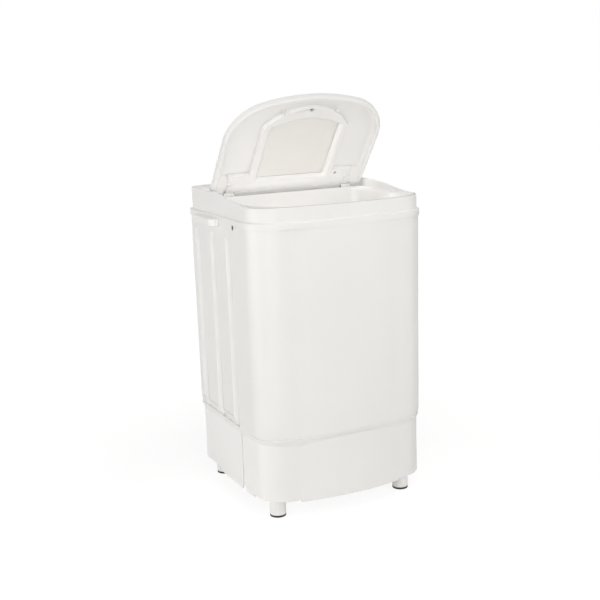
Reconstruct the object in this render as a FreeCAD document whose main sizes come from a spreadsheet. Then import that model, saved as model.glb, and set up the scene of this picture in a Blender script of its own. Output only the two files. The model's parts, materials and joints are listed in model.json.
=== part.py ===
import FreeCAD, Part
import math
import os
import re

import Sketcher

# Mini washing machine, millimetres. The machine stands on z = 0 and its front faces -Y.

SIZES = {
    # casing, plinth and cover in plan
    "body_width": 360,
    "body_depth": 356,
    "front_bulge": 23.5,
    "front_corner": 60,
    "back_corner": 32,
    "lip_out": 2,
    "casing_taper": 3.4,
    "base_step": 4.8,
    "cover_set_back": 5,
    "column_width": 75,
    "front_panel_swell": 2,
    # walls and heights
    "wall": 3,
    "base_bottom": 38.5,
    "base_height": 119.5,
    "casing_height": 387,
    "cover_height": 54.5,
    "rim_fall": 15,
    "rim_sweep_lead": 16,
    "rim_sweep_front_gap": 53,
    "floor_lift": 3,
    "front_panel_drop": 4,
    "side_skirt_drop": 7,
    "side_skirt_reach": 116,
    "column_skirt_reach": 50,
    "base_flange_height": 4,
    "base_flange_set_in": 1,
    "lip_height": 12.5,
    "lip_wall": 4,
    "deck_drop": 3.5,
    "ledge_width": 9,
    "ledge_height": 4,
    # flutes, slots and grips on the sides
    "flute_back_gap": 57,
    "flute_pitch": 76,
    "flute_width": 25,
    "flute_floor": 18,
    "flute_depth": 10,
    "flute_drop": 23,
    "panel_end_height": 16,
    "panel_end_depth": 4,
    "base_slot_shift": 7,
    "base_slot_width": 11,
    "base_slot_depth": 7,
    "grip_back_gap": 128,
    "grip_length": 92,
    "grip_out": 16,
    "grip_lift": 7,
    "grip_drop": 12.5,
    "grip_round": 12,
    # feet
    "foot_side_gap": 46,
    "foot_front_gap": 63.5,
    "foot_back_gap": 31,
    "foot_radius": 15.3,
    "foot_web": 6,
    "foot_screw_length": 28,
    "pad_height": 4,
    "pad_bevel": 1,
    # lid
    "hinge_back_gap": 102,
    "hinge_lift": 3.2,
    "lid_angle": 52.3,
    "lid_side_gap": 16,
    "lid_front_gap": 22,
    "lid_thick": 15.7,
    "lid_skin": 3,
    "lid_rim": 9,
    "lid_front_radius": 341,
    "lid_corner": 91,
    "lid_back_corner": 8,
    "window_width": 141,
    "window_bottom": 34,
    "window_front_gap": 73,
    "window_rise": 15,
    "window_bevel": 6,
    "window_lap": 5,
    "frame_border": 19.5,
    "frame_sill": 24,
    "frame_crown": 31,
    "frame_thick": 8,
    "frame_hole_offset": 55,
    "frame_hole_rise": 33,
    "frame_hole_step": 7,
    "lid_screw_seat": 4,
    "lid_small_seat": 3.1,
    "lid_seat_play": 0.5,
    "lid_seat_floor": 2,
    "lid_screw_head": 1.8,
    "lid_screw_bite": 3.2,
    "buffer_radius": 3.5,
    "buffer_inset": 6,
    "buffer_front_gap": 96,
    # hinge
    "knuckle_inset": 36,
    "knuckle_length": 12,
    "knuckle_radius": 5.5,
    "neck_set_back": 1,
    "neck_short": 2,
    "ear_thick": 4,
    "ear_radius": 6,
    "pin_radius": 2,
    "hinge_notch_depth": 14,
    "hinge_notch_play": 1.5,
    "bracket_gap": 0.5,
    "bracket_far": 45,
    "bracket_near": 20,
    "bracket_screw_inset": 8,
    "bracket_screw_setback": 10,
    "hinge_arm_set_in": 1,
    # opening and trough
    "opening_side_gap": 18,
    "opening_back_gap": 14,
    "opening_front_gap": 14,
    "opening_radius": 300,
    "opening_corner": 85,
    "opening_back_corner": 20,
    "skirt_wall": 2.5,
    "trough_front": 8,
    "trough_back": 19,
    "trough_depth": 9,
    # tub
    "tub_place": -4,
    "tub_side_gap": 32,
    "tub_taper": 8,
    "tub_floor_lift": 22,
    "tub_wall": 2.8,
    "tub_floor_thick": 3.5,
    "tub_hole": 14,
    # pulsator
    "pulsator_gap": 45,
    "pulsator_lift": 1.5,
    "pulsator_thick": 9,
    "pulsator_edge": 3,
    "pulsator_top_edge": 2,
    "boss_foot_radius": 30,
    "boss_foot_rise": 10,
    "boss_radius": 22,
    "boss_shoulder_drop": 4,
    "boss_top_radius": 16,
    "boss_well_radius": 9,
    "boss_well_depth": 6,
    "vane_count": 4,
    "vane_height": 22,
    "vane_width": 12,
    "vane_start": 18,
    "vane_sink": 4,
    "vane_tip_gap": 6,
    "vane_tip_slope": 2,
    "vane_tip_rise": 3,
    "vane_crown_drop": 3,
    "pulsator_screw_hole": 3,
    "pulsator_screw_head": 8.5,
    "pulsator_screw_bevel": 1,
    "pulsator_screw_height": 4,
    # drive line
    "shaft_radius": 6,
    "shaft_rise": 8,
    "shaft_end_radius": 4,
    "shaft_end_length": 8,
    "bush_wall": 3.5,
    "bush_length": 20,
    "seal_height": 4,
    "seal_lip": 1.2,
    "seal_lip_height": 3,
    "housing_radius": 20,
    "housing_lift": 32,
    "housing_flange": 45,
    "housing_flange_thick": 8,
    "housing_flare": 8,
    "housing_bolt_circle": 34,
    "pulley_lift": 18.5,
    "pulley_width": 14,
    "pulley_web": 4,
    "pulley_rim_depth": 14,
    "hub_radius": 18,
    "hub_rise": 10,
    "nut_radius": 9,
    "nut_height": 6,
    "driven_radius": 70,
    "motor_pulley_radius": 20,
    "groove_depth": 6,
    "belt_width": 8,
    # motor
    "motor_side_gap": 80,
    "motor_back_gap": 93,
    "motor_lift": 20,
    "motor_side": 88,
    "shell_height": 20,
    "winding_room": 6,
    "stator_height": 30,
    "stator_bore": 27,
    "rotor_shaft": 5,
    "rotor_end_gap": 1,
    "rotor_top_gap": 2,
    "motor_bolt_inset": 8,
    "plate_thick": 3,
    "plate_margin": 4,
    "plate_corner": 18,
    "plate_shaft_play": 6,
    "grommet_height": 6,
    "post_radius": 8,
    "post_gap": 8,
    "post_hole_depth": 16,
    "post_screw_depth": 14,
    # controls
    "knob_spacing": 140,
    "knob_back_gap": 40,
    "knob_radius": 23,
    "knob_height": 18,
    "knob_skirt": 3,
    "knob_shoulder": 6,
    "knob_bevel": 2,
    "spindle_radius": 3,
    "fascia_side_gap": 35,
    "fascia_margin": 40,
    "fascia_thick": 2.5,
    "fascia_proud": 1,
    "timer_side": 52,
    "timer_height": 34,
    "switch_side": 40,
    "switch_height": 26,
    # services
    "capacitor_side_gap": 68,
    "capacitor_y": 20,
    "capacitor_radius": 20,
    "capacitor_height": 70,
    "capacitor_bevel": 3,
    "terminal_radius": 6,
    "terminal_height": 6,
    "clip_lift": 20,
    "clip_width": 14,
    "clip_thick": 2,
    "clip_foot": 14,
    "drain_side_gap": 108,
    "drain_back_gap": 108,
    "drain_drop": 48,
    "drain_radius": 14,
    "drain_bore": 11,
    "collar_out": 6,
    "collar_thick": 4,
    "outlet_bore": 11.5,
    "outlet_reach": 9,
    "outlet_flange_thick": 3,
    "gland_side_gap": 84,
    "gland_lift": 23.5,
    "gland_radius": 8,
    "gland_bore": 3.8,
    "gland_tail": 2,
    "gland_cap_out": 3,
    "gland_cap_thick": 4,
    "panel_drain_gap": 9,
    "panel_gland_gap": 18,
    "panel_lift": 23.5,
    "panel_top_gap": 20,
    "panel_thick": 2.5,
    "panel_screw_inset": 7,
    "service_hole_margin": 14,
    # fasteners and fits
    "screw_radius": 2.4,
    "screw_head": 4.6,
    "screw_head_height": 3,
    "screw_clear": 0.2,
    "small_screw_radius": 1.7,
    "small_screw_head": 3.6,
    "cover_screw_front_gap": 115,
    "cover_screw_back_gap": 54,
    "cover_screw_drop": 2,
    "cover_screw_seat": 5.2,
    "cover_screw_play": 1,
    "cover_screw_sink": 0.4,
    "cover_screw_bite": 1.5,
    "cover_tab_width": 20,
    "cover_tab_margin": 8,
    "running_clear": 0.05,
    "fit_clear": 0.3,
    "cut_over": 1,
}

# Places and levels that follow from the sizes
TIES = {
    # heights
    "floor_under": "base_bottom + floor_lift",
    "floor_top": "floor_under + wall",
    "casing_bottom": "base_bottom + base_height",
    "seam_height": "casing_bottom + casing_height",
    "ledge_top": "seam_height - wall",
    "lip_top": "seam_height + lip_height",
    "rim_back_height": "seam_height + cover_height",
    "rim_front_height": "rim_back_height - rim_fall",
    "deck_height": "rim_front_height - deck_drop",
    "hinge_height": "deck_height + hinge_lift",
    # insets from the body's outline
    "casing_low_inset": "lip_out + casing_taper",
    "base_inset": "casing_low_inset + base_step",
    "base_inner": "base_inset + wall",
    "base_back": "body_depth / 2 - base_inset",
    "casing_inner": "lip_out + wall",
    "rim_inner": "cover_set_back + wall",
    # front, sides and feet
    "front_panel_width": "body_width - 2 * column_width",
    "hinge_place": "body_depth / 2 - hinge_back_gap",
    "hinge_back": "hinge_place + trough_back",
    "rim_sweep_back": "hinge_place - rim_sweep_lead",
    "rim_sweep_front": "rim_sweep_front_gap - body_depth / 2",
    "flute_first": "body_depth / 2 - flute_back_gap - 2 * flute_pitch",
    "flute_top": "seam_height - flute_drop",
    "flute_floor_x": "body_width / 2 - casing_low_inset - flute_depth",
    "base_slot_place": "flute_first - base_slot_shift",
    "slot_floor_x": "body_width / 2 - base_inset - base_slot_depth",
    "side_skirt_front": "base_slot_place - column_skirt_reach",
    "side_skirt_back": "base_slot_place + side_skirt_reach",
    "grip_middle": "body_depth / 2 - grip_back_gap",
    "grip_top": "seam_height + grip_lift",
    "foot_spacing": "body_width - 2 * foot_side_gap",
    "foot_front": "foot_front_gap - body_depth / 2",
    "foot_back": "body_depth / 2 - foot_back_gap",
    # lid and its opening
    "lid_width": "body_width - 2 * lid_side_gap",
    "lid_length": "body_depth - hinge_back_gap - lid_front_gap",
    "opening_width": "lid_width - 2 * opening_side_gap",
    "trough_half": "lid_width / 2 + wall",
    "plate_under": "lid_thick - lid_skin",
    "frame_under": "plate_under - frame_thick",
    "pane_half": "window_width / 2 + window_lap",
    "window_spring": "lid_length - window_front_gap",
    "frame_width": "window_width + 2 * frame_border",
    "frame_bottom": "window_bottom - frame_sill",
    "frame_rise": "window_rise + frame_crown",
    "frame_hole_reach": "window_spring + frame_hole_rise",
    "knuckle_place": "lid_width / 2 - knuckle_inset",
    "bracket_start": "frame_width / 2 + bracket_gap",
    "bracket_end": "knuckle_place + knuckle_length / 2 - fit_clear",
    "bracket_screw_place": "frame_width / 2 + bracket_screw_inset",
    "buffer_place": "lid_width / 2 - buffer_inset",
    "buffer_reach": "lid_length - buffer_front_gap",
    # tub, drive line and motor
    "tub_top_radius": "body_width / 2 - tub_side_gap",
    "tub_floor_radius": "tub_top_radius - tub_taper",
    "tub_floor_height": "casing_bottom + tub_floor_lift",
    "tub_under": "tub_floor_height - tub_floor_thick",
    "pulsator_radius": "tub_floor_radius - pulsator_gap",
    "pulsator_low": "tub_floor_height + pulsator_lift",
    "pulsator_top": "pulsator_low + pulsator_thick",
    "boss_top": "pulsator_top + vane_height",
    "boss_well": "boss_top - boss_well_depth",
    "shaft_top": "pulsator_top + shaft_rise",
    "pulley_plane": "floor_top + pulley_lift",
    "pulley_low": "pulley_plane - pulley_width / 2",
    "pulley_high": "pulley_plane + pulley_width / 2",
    "housing_bottom": "pulley_plane + housing_lift",
    "housing_bore": "shaft_radius + bush_wall",
    "flange_under": "tub_under - housing_flange_thick",
    "shaft_hole": "shaft_radius + running_clear",
    "motor_x": "body_width / 2 - motor_side_gap",
    "motor_y": "body_depth / 2 - motor_back_gap",
    "motor_bottom": "pulley_plane + motor_lift",
    "shell_top": "motor_bottom + shell_height",
    "stator_top": "shell_top + stator_height",
    "motor_top": "stator_top + shell_height",
    "motor_bolt_offset": "motor_side / 2 - motor_bolt_inset",
    "plate_under_motor": "motor_bottom - plate_thick",
    "post_top": "plate_under_motor - grommet_height",
    "post_offset": "motor_side / 2 + post_gap",
    "post_left": "motor_x - post_offset",
    "post_right": "motor_x + post_offset",
    "post_near": "motor_y - post_offset",
    "post_far": "motor_y + post_offset",
    # controls and services
    "knob_place": "body_depth / 2 - knob_back_gap",
    "knob_seat": "rim_back_height + fascia_proud + fit_clear",
    "control_ceiling": "rim_back_height - wall",
    "fascia_width": "body_width - 2 * fascia_side_gap",
    "fascia_depth": "hinge_back_gap - fascia_margin",
    "fascia_bottom": "rim_back_height - fascia_thick + fascia_proud",
    "capacitor_x": "capacitor_side_gap - body_width / 2",
    "capacitor_top": "floor_top + capacitor_height",
    "drain_x": "drain_side_gap - body_width / 2",
    "drain_y": "body_depth / 2 - drain_back_gap",
    "drain_height": "casing_bottom - drain_drop",
    "gland_x": "body_width / 2 - gland_side_gap",
    "gland_height": "base_bottom + gland_lift",
    "panel_left": "drain_x + drain_radius + collar_out + panel_drain_gap",
    "panel_right": "gland_x - gland_radius - gland_cap_out - panel_gland_gap",
    "panel_x": "(panel_left + panel_right) / 2",
    "panel_width": "panel_right - panel_left",
    "panel_bottom": "base_bottom + panel_lift",
    "panel_height": "casing_bottom - panel_bottom - panel_top_gap",
    # screw holes
    "screw_hole": "screw_radius + screw_clear",
    "small_hole": "small_screw_radius + screw_clear",
    "cover_screw_front": "cover_screw_front_gap - body_depth / 2",
    "cover_screw_back": "body_depth / 2 - cover_screw_back_gap",
    "cover_screw_height": "seam_height - cover_screw_drop",
    "tab_bottom": "cover_screw_height - cover_tab_margin",
}

# Knob profile as shares of the knob's radius
KNOB_WAIST, KNOB_NECK, KNOB_TOP = 0.82, 0.78, 0.7
KNOB_SCALLOP_REACH, KNOB_SCALLOP_RADIUS = 1.05, 0.72
# Pulsator shape as shares of its radius and of the vanes' height
DISH_SHARE, VANE_BEND_SHARE, VANE_BEND_RISE = 0.55, 0.6, 0.45

doc = FreeCAD.newDocument("MiniWashingMachine")
sheet = doc.addObject("Spreadsheet::Sheet", "Sizes")
CELLS = {**SIZES, **{alias: f"={formula}" for alias, formula in TIES.items()}}
for row, (alias, content) in enumerate(CELLS.items(), start=1):
    sheet.set(f"A{row}", alias)
    sheet.setAlias(f"B{row}", alias)
for row, content in enumerate(CELLS.values(), start=1):
    sheet.set(f"B{row}", str(content))
doc.recompute()

WORD = re.compile(r"[a-z][a-z_0-9]*")
VECTOR = FreeCAD.Vector
parts = []


def bound(text):
    """Point every size named in an expression at its cell in the sheet."""
    return WORD.sub(lambda word: f"Sizes.{word[0]}" if word[0] in CELLS else word[0], str(text))


def number(text):
    return float(sheet.evalExpression(bound(text)))


def bind(thing, texts):
    for name, text in texts.items():
        thing.setExpression(name, bound(text))


def place(thing, at):
    bind(thing, {f"Placement.Base.{axis}": text for axis, text in zip("xyz", at)})
    return thing


def part(thing):
    """Count a document object as a finished sub-part."""
    parts.append(thing)
    return thing


# Solids from primitives

TURN = {
    "z": FreeCAD.Rotation(),
    "x": FreeCAD.Rotation(VECTOR(0, 1, 0), 90),
    "y": FreeCAD.Rotation(VECTOR(1, 0, 0), -90),
}


def box(name, corner, size):
    thing = doc.addObject("Part::Box", name)
    bind(thing, dict(zip(("Length", "Width", "Height"), size)))
    return place(thing, corner)


def centred_box(name, middle, bottom, size):
    corner = (f"{middle[0]} - ({size[0]}) / 2", f"{middle[1]} - ({size[1]}) / 2", bottom)
    return box(name, corner, size)


def cylinder(name, at, radius, height, along="z"):
    thing = doc.addObject("Part::Cylinder", name)
    thing.Placement = FreeCAD.Placement(VECTOR(), TURN[along])
    bind(thing, {"Radius": radius, "Height": height})
    return place(thing, at)


def fuse(name, *pieces):
    thing = doc.addObject("Part::MultiFuse", name)
    thing.Shapes = list(pieces)
    return thing


def cut(name, base, *tools):
    thing = doc.addObject("Part::Cut", name)
    thing.Base = base
    thing.Tool = tools[0] if len(tools) == 1 else fuse(f"{name}_tools", *tools)
    return thing


def common(name, first, second):
    thing = doc.addObject("Part::MultiCommon", name)
    thing.Shapes = [first, second]
    return thing


def group(name, *pieces):
    thing = doc.addObject("Part::Compound", name)
    thing.Links = list(pieces)
    return thing


def mirrored(name, source):
    """The same piece on the machine's other side."""
    thing = doc.addObject("Part::Mirroring", name)
    thing.Source = source
    thing.Normal = VECTOR(1, 0, 0)
    return thing


def screw(name, at, head_radius, shank_radius, shank_length, along="z"):
    """A screw whose head seats on the point given, with its shank back along the axis."""
    axis = "xyz".index(along)
    shank_at = list(at)
    shank_at[axis] = f"{at[axis]} - ({shank_length})"
    head = cylinder(f"{name}_head", at, head_radius, "screw_head_height", along)
    shank = cylinder(f"{name}_shank", shank_at, shank_radius, shank_length, along)
    return fuse(name, head, shank)


# Solids from sketches

def body(name):
    return doc.addObject("PartDesign::Body", name)


def sketch(owner, name, plane="XY_Plane", lift="0"):
    drawing = owner.newObject("Sketcher::SketchObject", name)
    support = next(item for item in owner.Origin.OriginFeatures if item.Role == plane)
    drawing.AttachmentSupport = [(support, "")]
    drawing.MapMode = "FlatFace"
    drawing.setExpression("AttachmentOffset.Base.z", bound(lift))
    return drawing


def fix(drawing, kind, where, text):
    """Add one dimension to a sketch and tie it to the sheet."""
    index = drawing.addConstraint(Sketcher.Constraint(kind, *where, number(text)))
    drawing.setExpression(f"Constraints[{index}]", bound(text))


def fix_point(drawing, edge, spot, at):
    for kind, axis, text in (("DistanceX", -2, at[0]), ("DistanceY", -1, at[1])):
        if text == "0":
            drawing.addConstraint(Sketcher.Constraint("PointOnObject", edge, spot, axis))
        else:
            fix(drawing, kind, (-1, 1, edge, spot), text)


def polygon(drawing, points, arcs=None):
    """A closed outline through the points. An edge listed in arcs is round, with its centre at that x."""
    arcs = arcs or {}
    corners = [VECTOR(number(x), number(y), 0) for x, y in points]
    count = len(corners)
    first = drawing.GeometryCount
    for index, start in enumerate(corners):
        end = corners[(index + 1) % count]
        if index not in arcs:
            drawing.addGeometry(Part.LineSegment(start, end), False)
            continue
        centre_x, turn = arcs[index]
        drawing.addGeometry(arc_between(start, end, number(centre_x), turn), False)
    for index in range(count):
        this, after = first + index, first + (index + 1) % count
        this_end = 1 if reversed_arc(arcs, index) else 2
        after_start = 2 if reversed_arc(arcs, (index + 1) % count) else 1
        drawing.addConstraint(Sketcher.Constraint("Coincident", this, this_end, after, after_start))
        fix_point(drawing, this, 2 if reversed_arc(arcs, index) else 1, points[index])
    for index, (centre_x, _) in arcs.items():
        fix(drawing, "DistanceX", (-1, 1, first + index, 3), centre_x)


def reversed_arc(arcs, index):
    return index in arcs and arcs[index][1] == "clockwise"


def arc_between(start, end, centre_x, turn):
    """The arc from start to end whose centre has the given x."""
    middle = (start + end) * 0.5
    step = end - start
    centre_y = middle.y - (centre_x - middle.x) * step.x / step.y
    return arc_about(VECTOR(centre_x, centre_y, 0), start, end, turn)


def arc_about(centre, start, end, turn):
    if turn == "clockwise":
        start, end = end, start
    ring = Part.Circle(centre, VECTOR(0, 0, 1), (start - centre).Length)
    first = math.atan2(start.y - centre.y, start.x - centre.x)
    last = math.atan2(end.y - centre.y, end.x - centre.x)
    if last <= first:
        last += 2 * math.pi
    return Part.ArcOfCircle(ring, first, last)


def arch(drawing, half, bottom, spring, rise):
    """A window shape: straight sides up to the spring line, and one round arch over them."""
    w, low, high, up = number(half), -number(bottom), -number(spring), number(rise)
    centre = VECTOR(0, high - up + (w * w + up * up) / (2 * up), 0)
    left_low, right_low = VECTOR(-w, low, 0), VECTOR(w, low, 0)
    left_high, right_high = VECTOR(-w, high, 0), VECTOR(w, high, 0)
    first = drawing.addGeometry(Part.LineSegment(right_low, left_low), False)
    drawing.addGeometry(Part.LineSegment(left_low, left_high), False)
    drawing.addGeometry(arc_about(centre, left_high, right_high, "anticlockwise"), False)
    drawing.addGeometry(Part.LineSegment(right_high, right_low), False)
    for index in range(4):
        drawing.addConstraint(Sketcher.Constraint("Coincident", first + index, 2, first + (index + 1) % 4, 1))
    fix_point(drawing, first, 1, (half, f"-({bottom})"))
    fix_point(drawing, first + 1, 1, (f"-({half})", f"-({bottom})"))
    fix_point(drawing, first + 2, 1, (f"-({half})", f"-({spring})"))
    fix_point(drawing, first + 3, 1, (half, f"-({spring})"))
    fix(drawing, "Radius", (first + 2,), f"(({half})^2 + ({rise})^2) / (2 * ({rise}))")


def outline(drawing, form, inset="0"):
    """A straight-backed, bow-fronted outline with round corners, set in all round by the inset."""
    half = f"{form['half']} - ({inset})"
    back = f"{form['back']} - ({inset})"
    radius = f"{form['radius']} - ({inset})"
    centre = f"{form['front']} + {form['radius']}"
    front_round = f"{form['front_corner']} - ({inset})"
    back_round = f"{form['back_corner']} - ({inset})"
    w, yb, big, cy = number(half), number(back), number(radius), number(centre)
    rf, rb = number(front_round), number(back_round)
    corner_x = w - rf
    corner_y = cy - math.sqrt((big - rf) ** 2 - corner_x ** 2)
    lean = math.atan2(corner_y - cy, corner_x)
    lean_left = math.pi - lean
    axis = VECTOR(0, 0, 1)

    def bend(x, y, size, start, end):
        return Part.ArcOfCircle(Part.Circle(VECTOR(x, y, 0), axis, size), start, end)

    edges = [
        Part.LineSegment(VECTOR(w - rb, yb, 0), VECTOR(rb - w, yb, 0)),
        bend(rb - w, yb - rb, rb, math.pi / 2, math.pi),
        Part.LineSegment(VECTOR(-w, yb - rb, 0), VECTOR(-w, corner_y, 0)),
        bend(-corner_x, corner_y, rf, math.pi, lean_left),
        bend(0, cy, big, lean_left, lean + 2 * math.pi),
        bend(corner_x, corner_y, rf, lean, 0),
        Part.LineSegment(VECTOR(w, corner_y, 0), VECTOR(w, yb - rb, 0)),
        bend(w - rb, yb - rb, rb, 0, math.pi / 2),
    ]
    first = drawing.GeometryCount
    for edge in edges:
        drawing.addGeometry(edge, False)
    for index in range(8):
        drawing.addConstraint(Sketcher.Constraint("Tangent", first + index, 2, first + (index + 1) % 8, 1))
    drawing.addConstraint(Sketcher.Constraint("Horizontal", first))
    drawing.addConstraint(Sketcher.Constraint("Vertical", first + 2))
    drawing.addConstraint(Sketcher.Constraint("Vertical", first + 6))
    drawing.addConstraint(Sketcher.Constraint("PointOnObject", first + 4, 3, -2))
    fix(drawing, "DistanceX", (-1, 1, first + 6, 1), half)
    fix(drawing, "DistanceX", (-1, 1, first + 2, 1), f"-({half})")
    fix(drawing, "DistanceY", (-1, 1, first, 1), back)
    fix(drawing, "DistanceY", (-1, 1, first + 4, 3), centre)
    fix(drawing, "Radius", (first + 4,), radius)
    for index, size in ((1, back_round), (7, back_round), (3, front_round), (5, front_round)):
        fix(drawing, "Radius", (first + index,), size)


def pad(owner, drawing, length, kind="PartDesign::Pad", flip=False):
    feature = owner.newObject(kind, f"{drawing.Name}_depth")
    feature.Profile = drawing
    feature.Reversed = flip
    bind(feature, {"Length": length})
    owner.Tip = feature
    return feature


def pocket(owner, drawing, length, flip=False):
    return pad(owner, drawing, length, "PartDesign::Pocket", flip)


def loft(owner, low, high, kind="PartDesign::AdditiveLoft"):
    feature = owner.newObject(kind, f"{low.Name}_loft")
    feature.Profile = low
    feature.Sections = [high]
    feature.Ruled = True
    owner.Tip = feature
    return feature


def revolve(owner, drawing):
    feature = owner.newObject("PartDesign::Revolution", f"{drawing.Name}_turn")
    feature.Profile = drawing
    feature.ReferenceAxis = (drawing, ["V_Axis"])
    feature.Angle = 360
    owner.Tip = feature
    return feature


def prism(name, form, inset, bottom, top):
    """An upright block of one outline between two heights."""
    owner = body(name)
    drawing = sketch(owner, f"{name}_outline", lift=bottom)
    outline(drawing, form, inset)
    pad(owner, drawing, f"({top}) - ({bottom})")
    return owner


def tapered(name, form, low_inset, high_inset, bottom, top):
    owner = body(name)
    low = sketch(owner, f"{name}_low", lift=bottom)
    outline(low, form, low_inset)
    high = sketch(owner, f"{name}_high", lift=top)
    outline(high, form, high_inset)
    loft(owner, low, high)
    return owner


def turned(name, points, at=("0", "0", "0")):
    """A round piece: a half profile of (radius, height) points turned about its own axis."""
    owner = body(name)
    drawing = sketch(owner, f"{name}_profile", "XZ_Plane")
    polygon(drawing, points)
    revolve(owner, drawing)
    return place(owner, at)

# Shared outlines

BODY = {
    "half": "body_width / 2",
    "back": "body_depth / 2",
    "front": "-body_depth / 2",
    "radius": "((body_width / 2)^2 + front_bulge^2) / (2 * front_bulge)",
    "front_corner": "front_corner",
    "back_corner": "back_corner",
}
OPENING = {
    "half": "opening_width / 2",
    "back": "(hinge_place - opening_back_gap)",
    "front": "(hinge_place - lid_length + opening_front_gap)",
    "radius": "opening_radius",
    "front_corner": "opening_corner",
    "back_corner": "opening_back_corner",
}
LID = {
    "half": "lid_width / 2",
    "back": "0",
    "front": "-lid_length",
    "radius": "lid_front_radius",
    "front_corner": "lid_corner",
    "back_corner": "lid_back_corner",
}
FLUTES = [f"(flute_first + {step} * flute_pitch)" for step in range(3)]
FEET = {
    "front_left": ("(-foot_spacing / 2)", "foot_front"),
    "front_right": ("(foot_spacing / 2)", "foot_front"),
    "back_left": ("(-foot_spacing / 2)", "foot_back"),
    "back_right": ("(foot_spacing / 2)", "foot_back"),
}
MOTOR_POSTS = [("post_right", "post_near"), ("post_right", "post_far"), ("post_left", "post_far")]
AXIS = ("0", "tub_place", "0")
SIDES = {"left": "-1", "right": "1"}
COVER_SCREWS = [(sign, y) for sign in SIDES.values() for y in ("cover_screw_front", "cover_screw_back")]


def front_panel(name, low_inset, high_inset, bottom, top):
    """The middle of the front, which swells a little beyond the corner columns."""
    owner = body(name)
    drawings = []
    for level, inset, height in (("low", low_inset, bottom), ("high", high_inset, top)):
        drawing = sketch(owner, f"{name}_{level}", lift=height)
        edge = (
            f"{BODY['front']} + {BODY['radius']}"
            f" - sqrt(({BODY['radius']} - ({inset}))^2 - (front_panel_width / 2)^2)"
        )
        rise = f"({edge}) - ({BODY['front']} + ({inset}) - front_panel_swell)"
        arch(drawing, "front_panel_width / 2", f"-({edge}) - wall", f"-({edge})", rise)
        drawings.append(drawing)
    loft(owner, *drawings)
    return owner


# Plinth

def make_base():
    block = prism("base_block", BODY, "base_inset", "base_bottom", "casing_bottom")
    panel = front_panel("base_front", "base_inset", "base_inset", "base_bottom - front_panel_drop",
                        "casing_bottom - base_flange_height")
    skirts = []
    for name, near, far in (("side_skirt", "base_slot_place + base_slot_width / 2", "side_skirt_back"),
                            ("column_skirt", "side_skirt_front", "base_slot_place - base_slot_width")):
        skirt = box(name, ("body_width / 2 - base_inner", near, "base_bottom - side_skirt_drop"),
                    ("wall", f"{far} - ({near})", "side_skirt_drop + wall"))
        skirts += [skirt, mirrored(f"{name}_left", skirt)]
    flange = prism("base_flange", BODY, "casing_low_inset + base_flange_set_in",
                   "casing_bottom - base_flange_height", "casing_bottom")
    solid = fuse("base_solid", block, panel, flange, *skirts)

    backing = box("slot_backing",
                  ("slot_floor_x - wall", "base_slot_place - base_slot_width / 2 - wall", "0"),
                  ("base_slot_depth + 2 * wall", "base_slot_width + 2 * wall", "casing_bottom"))
    room = prism("base_room", BODY, "base_inner", "floor_top", "casing_bottom - base_flange_height")
    under = prism("base_under", BODY, "base_inner", "0", "floor_under")
    hollow = cut("base_hollow", fuse("base_rooms", room, under), backing,
                 mirrored("slot_backing_left", backing))
    mouth = prism("base_mouth", BODY, "casing_low_inset + flute_depth + 2 * wall",
                  "casing_bottom - 2 * base_flange_height", "casing_bottom + wall")
    slot = body("base_slot")
    drawing = sketch(slot, "slot_outline")
    polygon(drawing, [
        ("slot_floor_x", "base_slot_place - base_slot_width / 4"),
        ("body_width / 2", "base_slot_place - base_slot_width / 2"),
        ("body_width / 2", "base_slot_place + base_slot_width / 2"),
        ("slot_floor_x", "base_slot_place + base_slot_width / 4"),
    ])
    pad(slot, drawing, "casing_bottom - base_flange_height")
    shell = cut("base_shell", solid, hollow, mouth, slot, mirrored("base_slot_left", slot))

    posts = [cylinder(f"motor_post_{n}", (x, y, "floor_top"), "post_radius", "post_top - floor_top")
             for n, (x, y) in enumerate(MOTOR_POSTS)]
    holes = [cylinder(f"foot_hole_{n}", (x, y, "0"), "screw_hole", "floor_top + cut_over")
             for n, (x, y) in FEET.items()]
    holes += [cylinder(f"post_hole_{n}", (x, y, "post_top - post_hole_depth"), "screw_hole",
                       "post_hole_depth + cut_over") for n, (x, y) in enumerate(MOTOR_POSTS)]
    inside = "base_back - 2 * wall"
    through = "4 * wall"
    holes += [
        cylinder("drain_hole", ("drain_x", inside, "drain_height"), "drain_radius + screw_clear",
                 through, "y"),
        cylinder("gland_hole", ("gland_x", inside, "gland_height"), "gland_radius + screw_clear",
                 through, "y"),
        centred_box("service_hole", ("panel_x", "base_back"), "panel_bottom + service_hole_margin",
                    ("panel_width - 2 * service_hole_margin", through,
                     "panel_height - 2 * service_hole_margin")),
    ]
    holes += [cylinder(f"panel_hole_{n}", (x, inside, z), "small_hole", through, "y")
              for n, (x, z) in enumerate(panel_corners())]
    part(cut("base", fuse("base_with_posts", shell, *posts), *holes))


def panel_corners():
    xs = ("panel_left + panel_screw_inset", "panel_right - panel_screw_inset")
    zs = ("panel_bottom + panel_screw_inset", "panel_bottom + panel_height - panel_screw_inset")
    return [(x, z) for x in xs for z in zs]


def make_feet():
    screws = []
    for name, (x, y) in FEET.items():
        height = "floor_under - pad_height"
        leg = cylinder(f"{name}_leg_blank", (x, y, "pad_height"), "foot_radius", height)
        hole = cylinder(f"{name}_leg_hole", (x, y, "pad_height + foot_web"), "screw_hole", height)
        part(cut(f"foot_leg_{name}", leg, hole))
        part(turned(f"foot_pad_{name}", [
            ("0", "0"),
            ("foot_radius - pad_bevel", "0"),
            ("foot_radius", "pad_bevel"),
            ("foot_radius", "pad_height"),
            ("0", "pad_height"),
        ], (x, y, "0")))
        screws.append(screw(f"foot_screw_{name}", (x, y, "floor_top"), "screw_head", "screw_radius",
                            "foot_screw_length"))
    part(group("foot_screws", *screws))


# Casing

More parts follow.
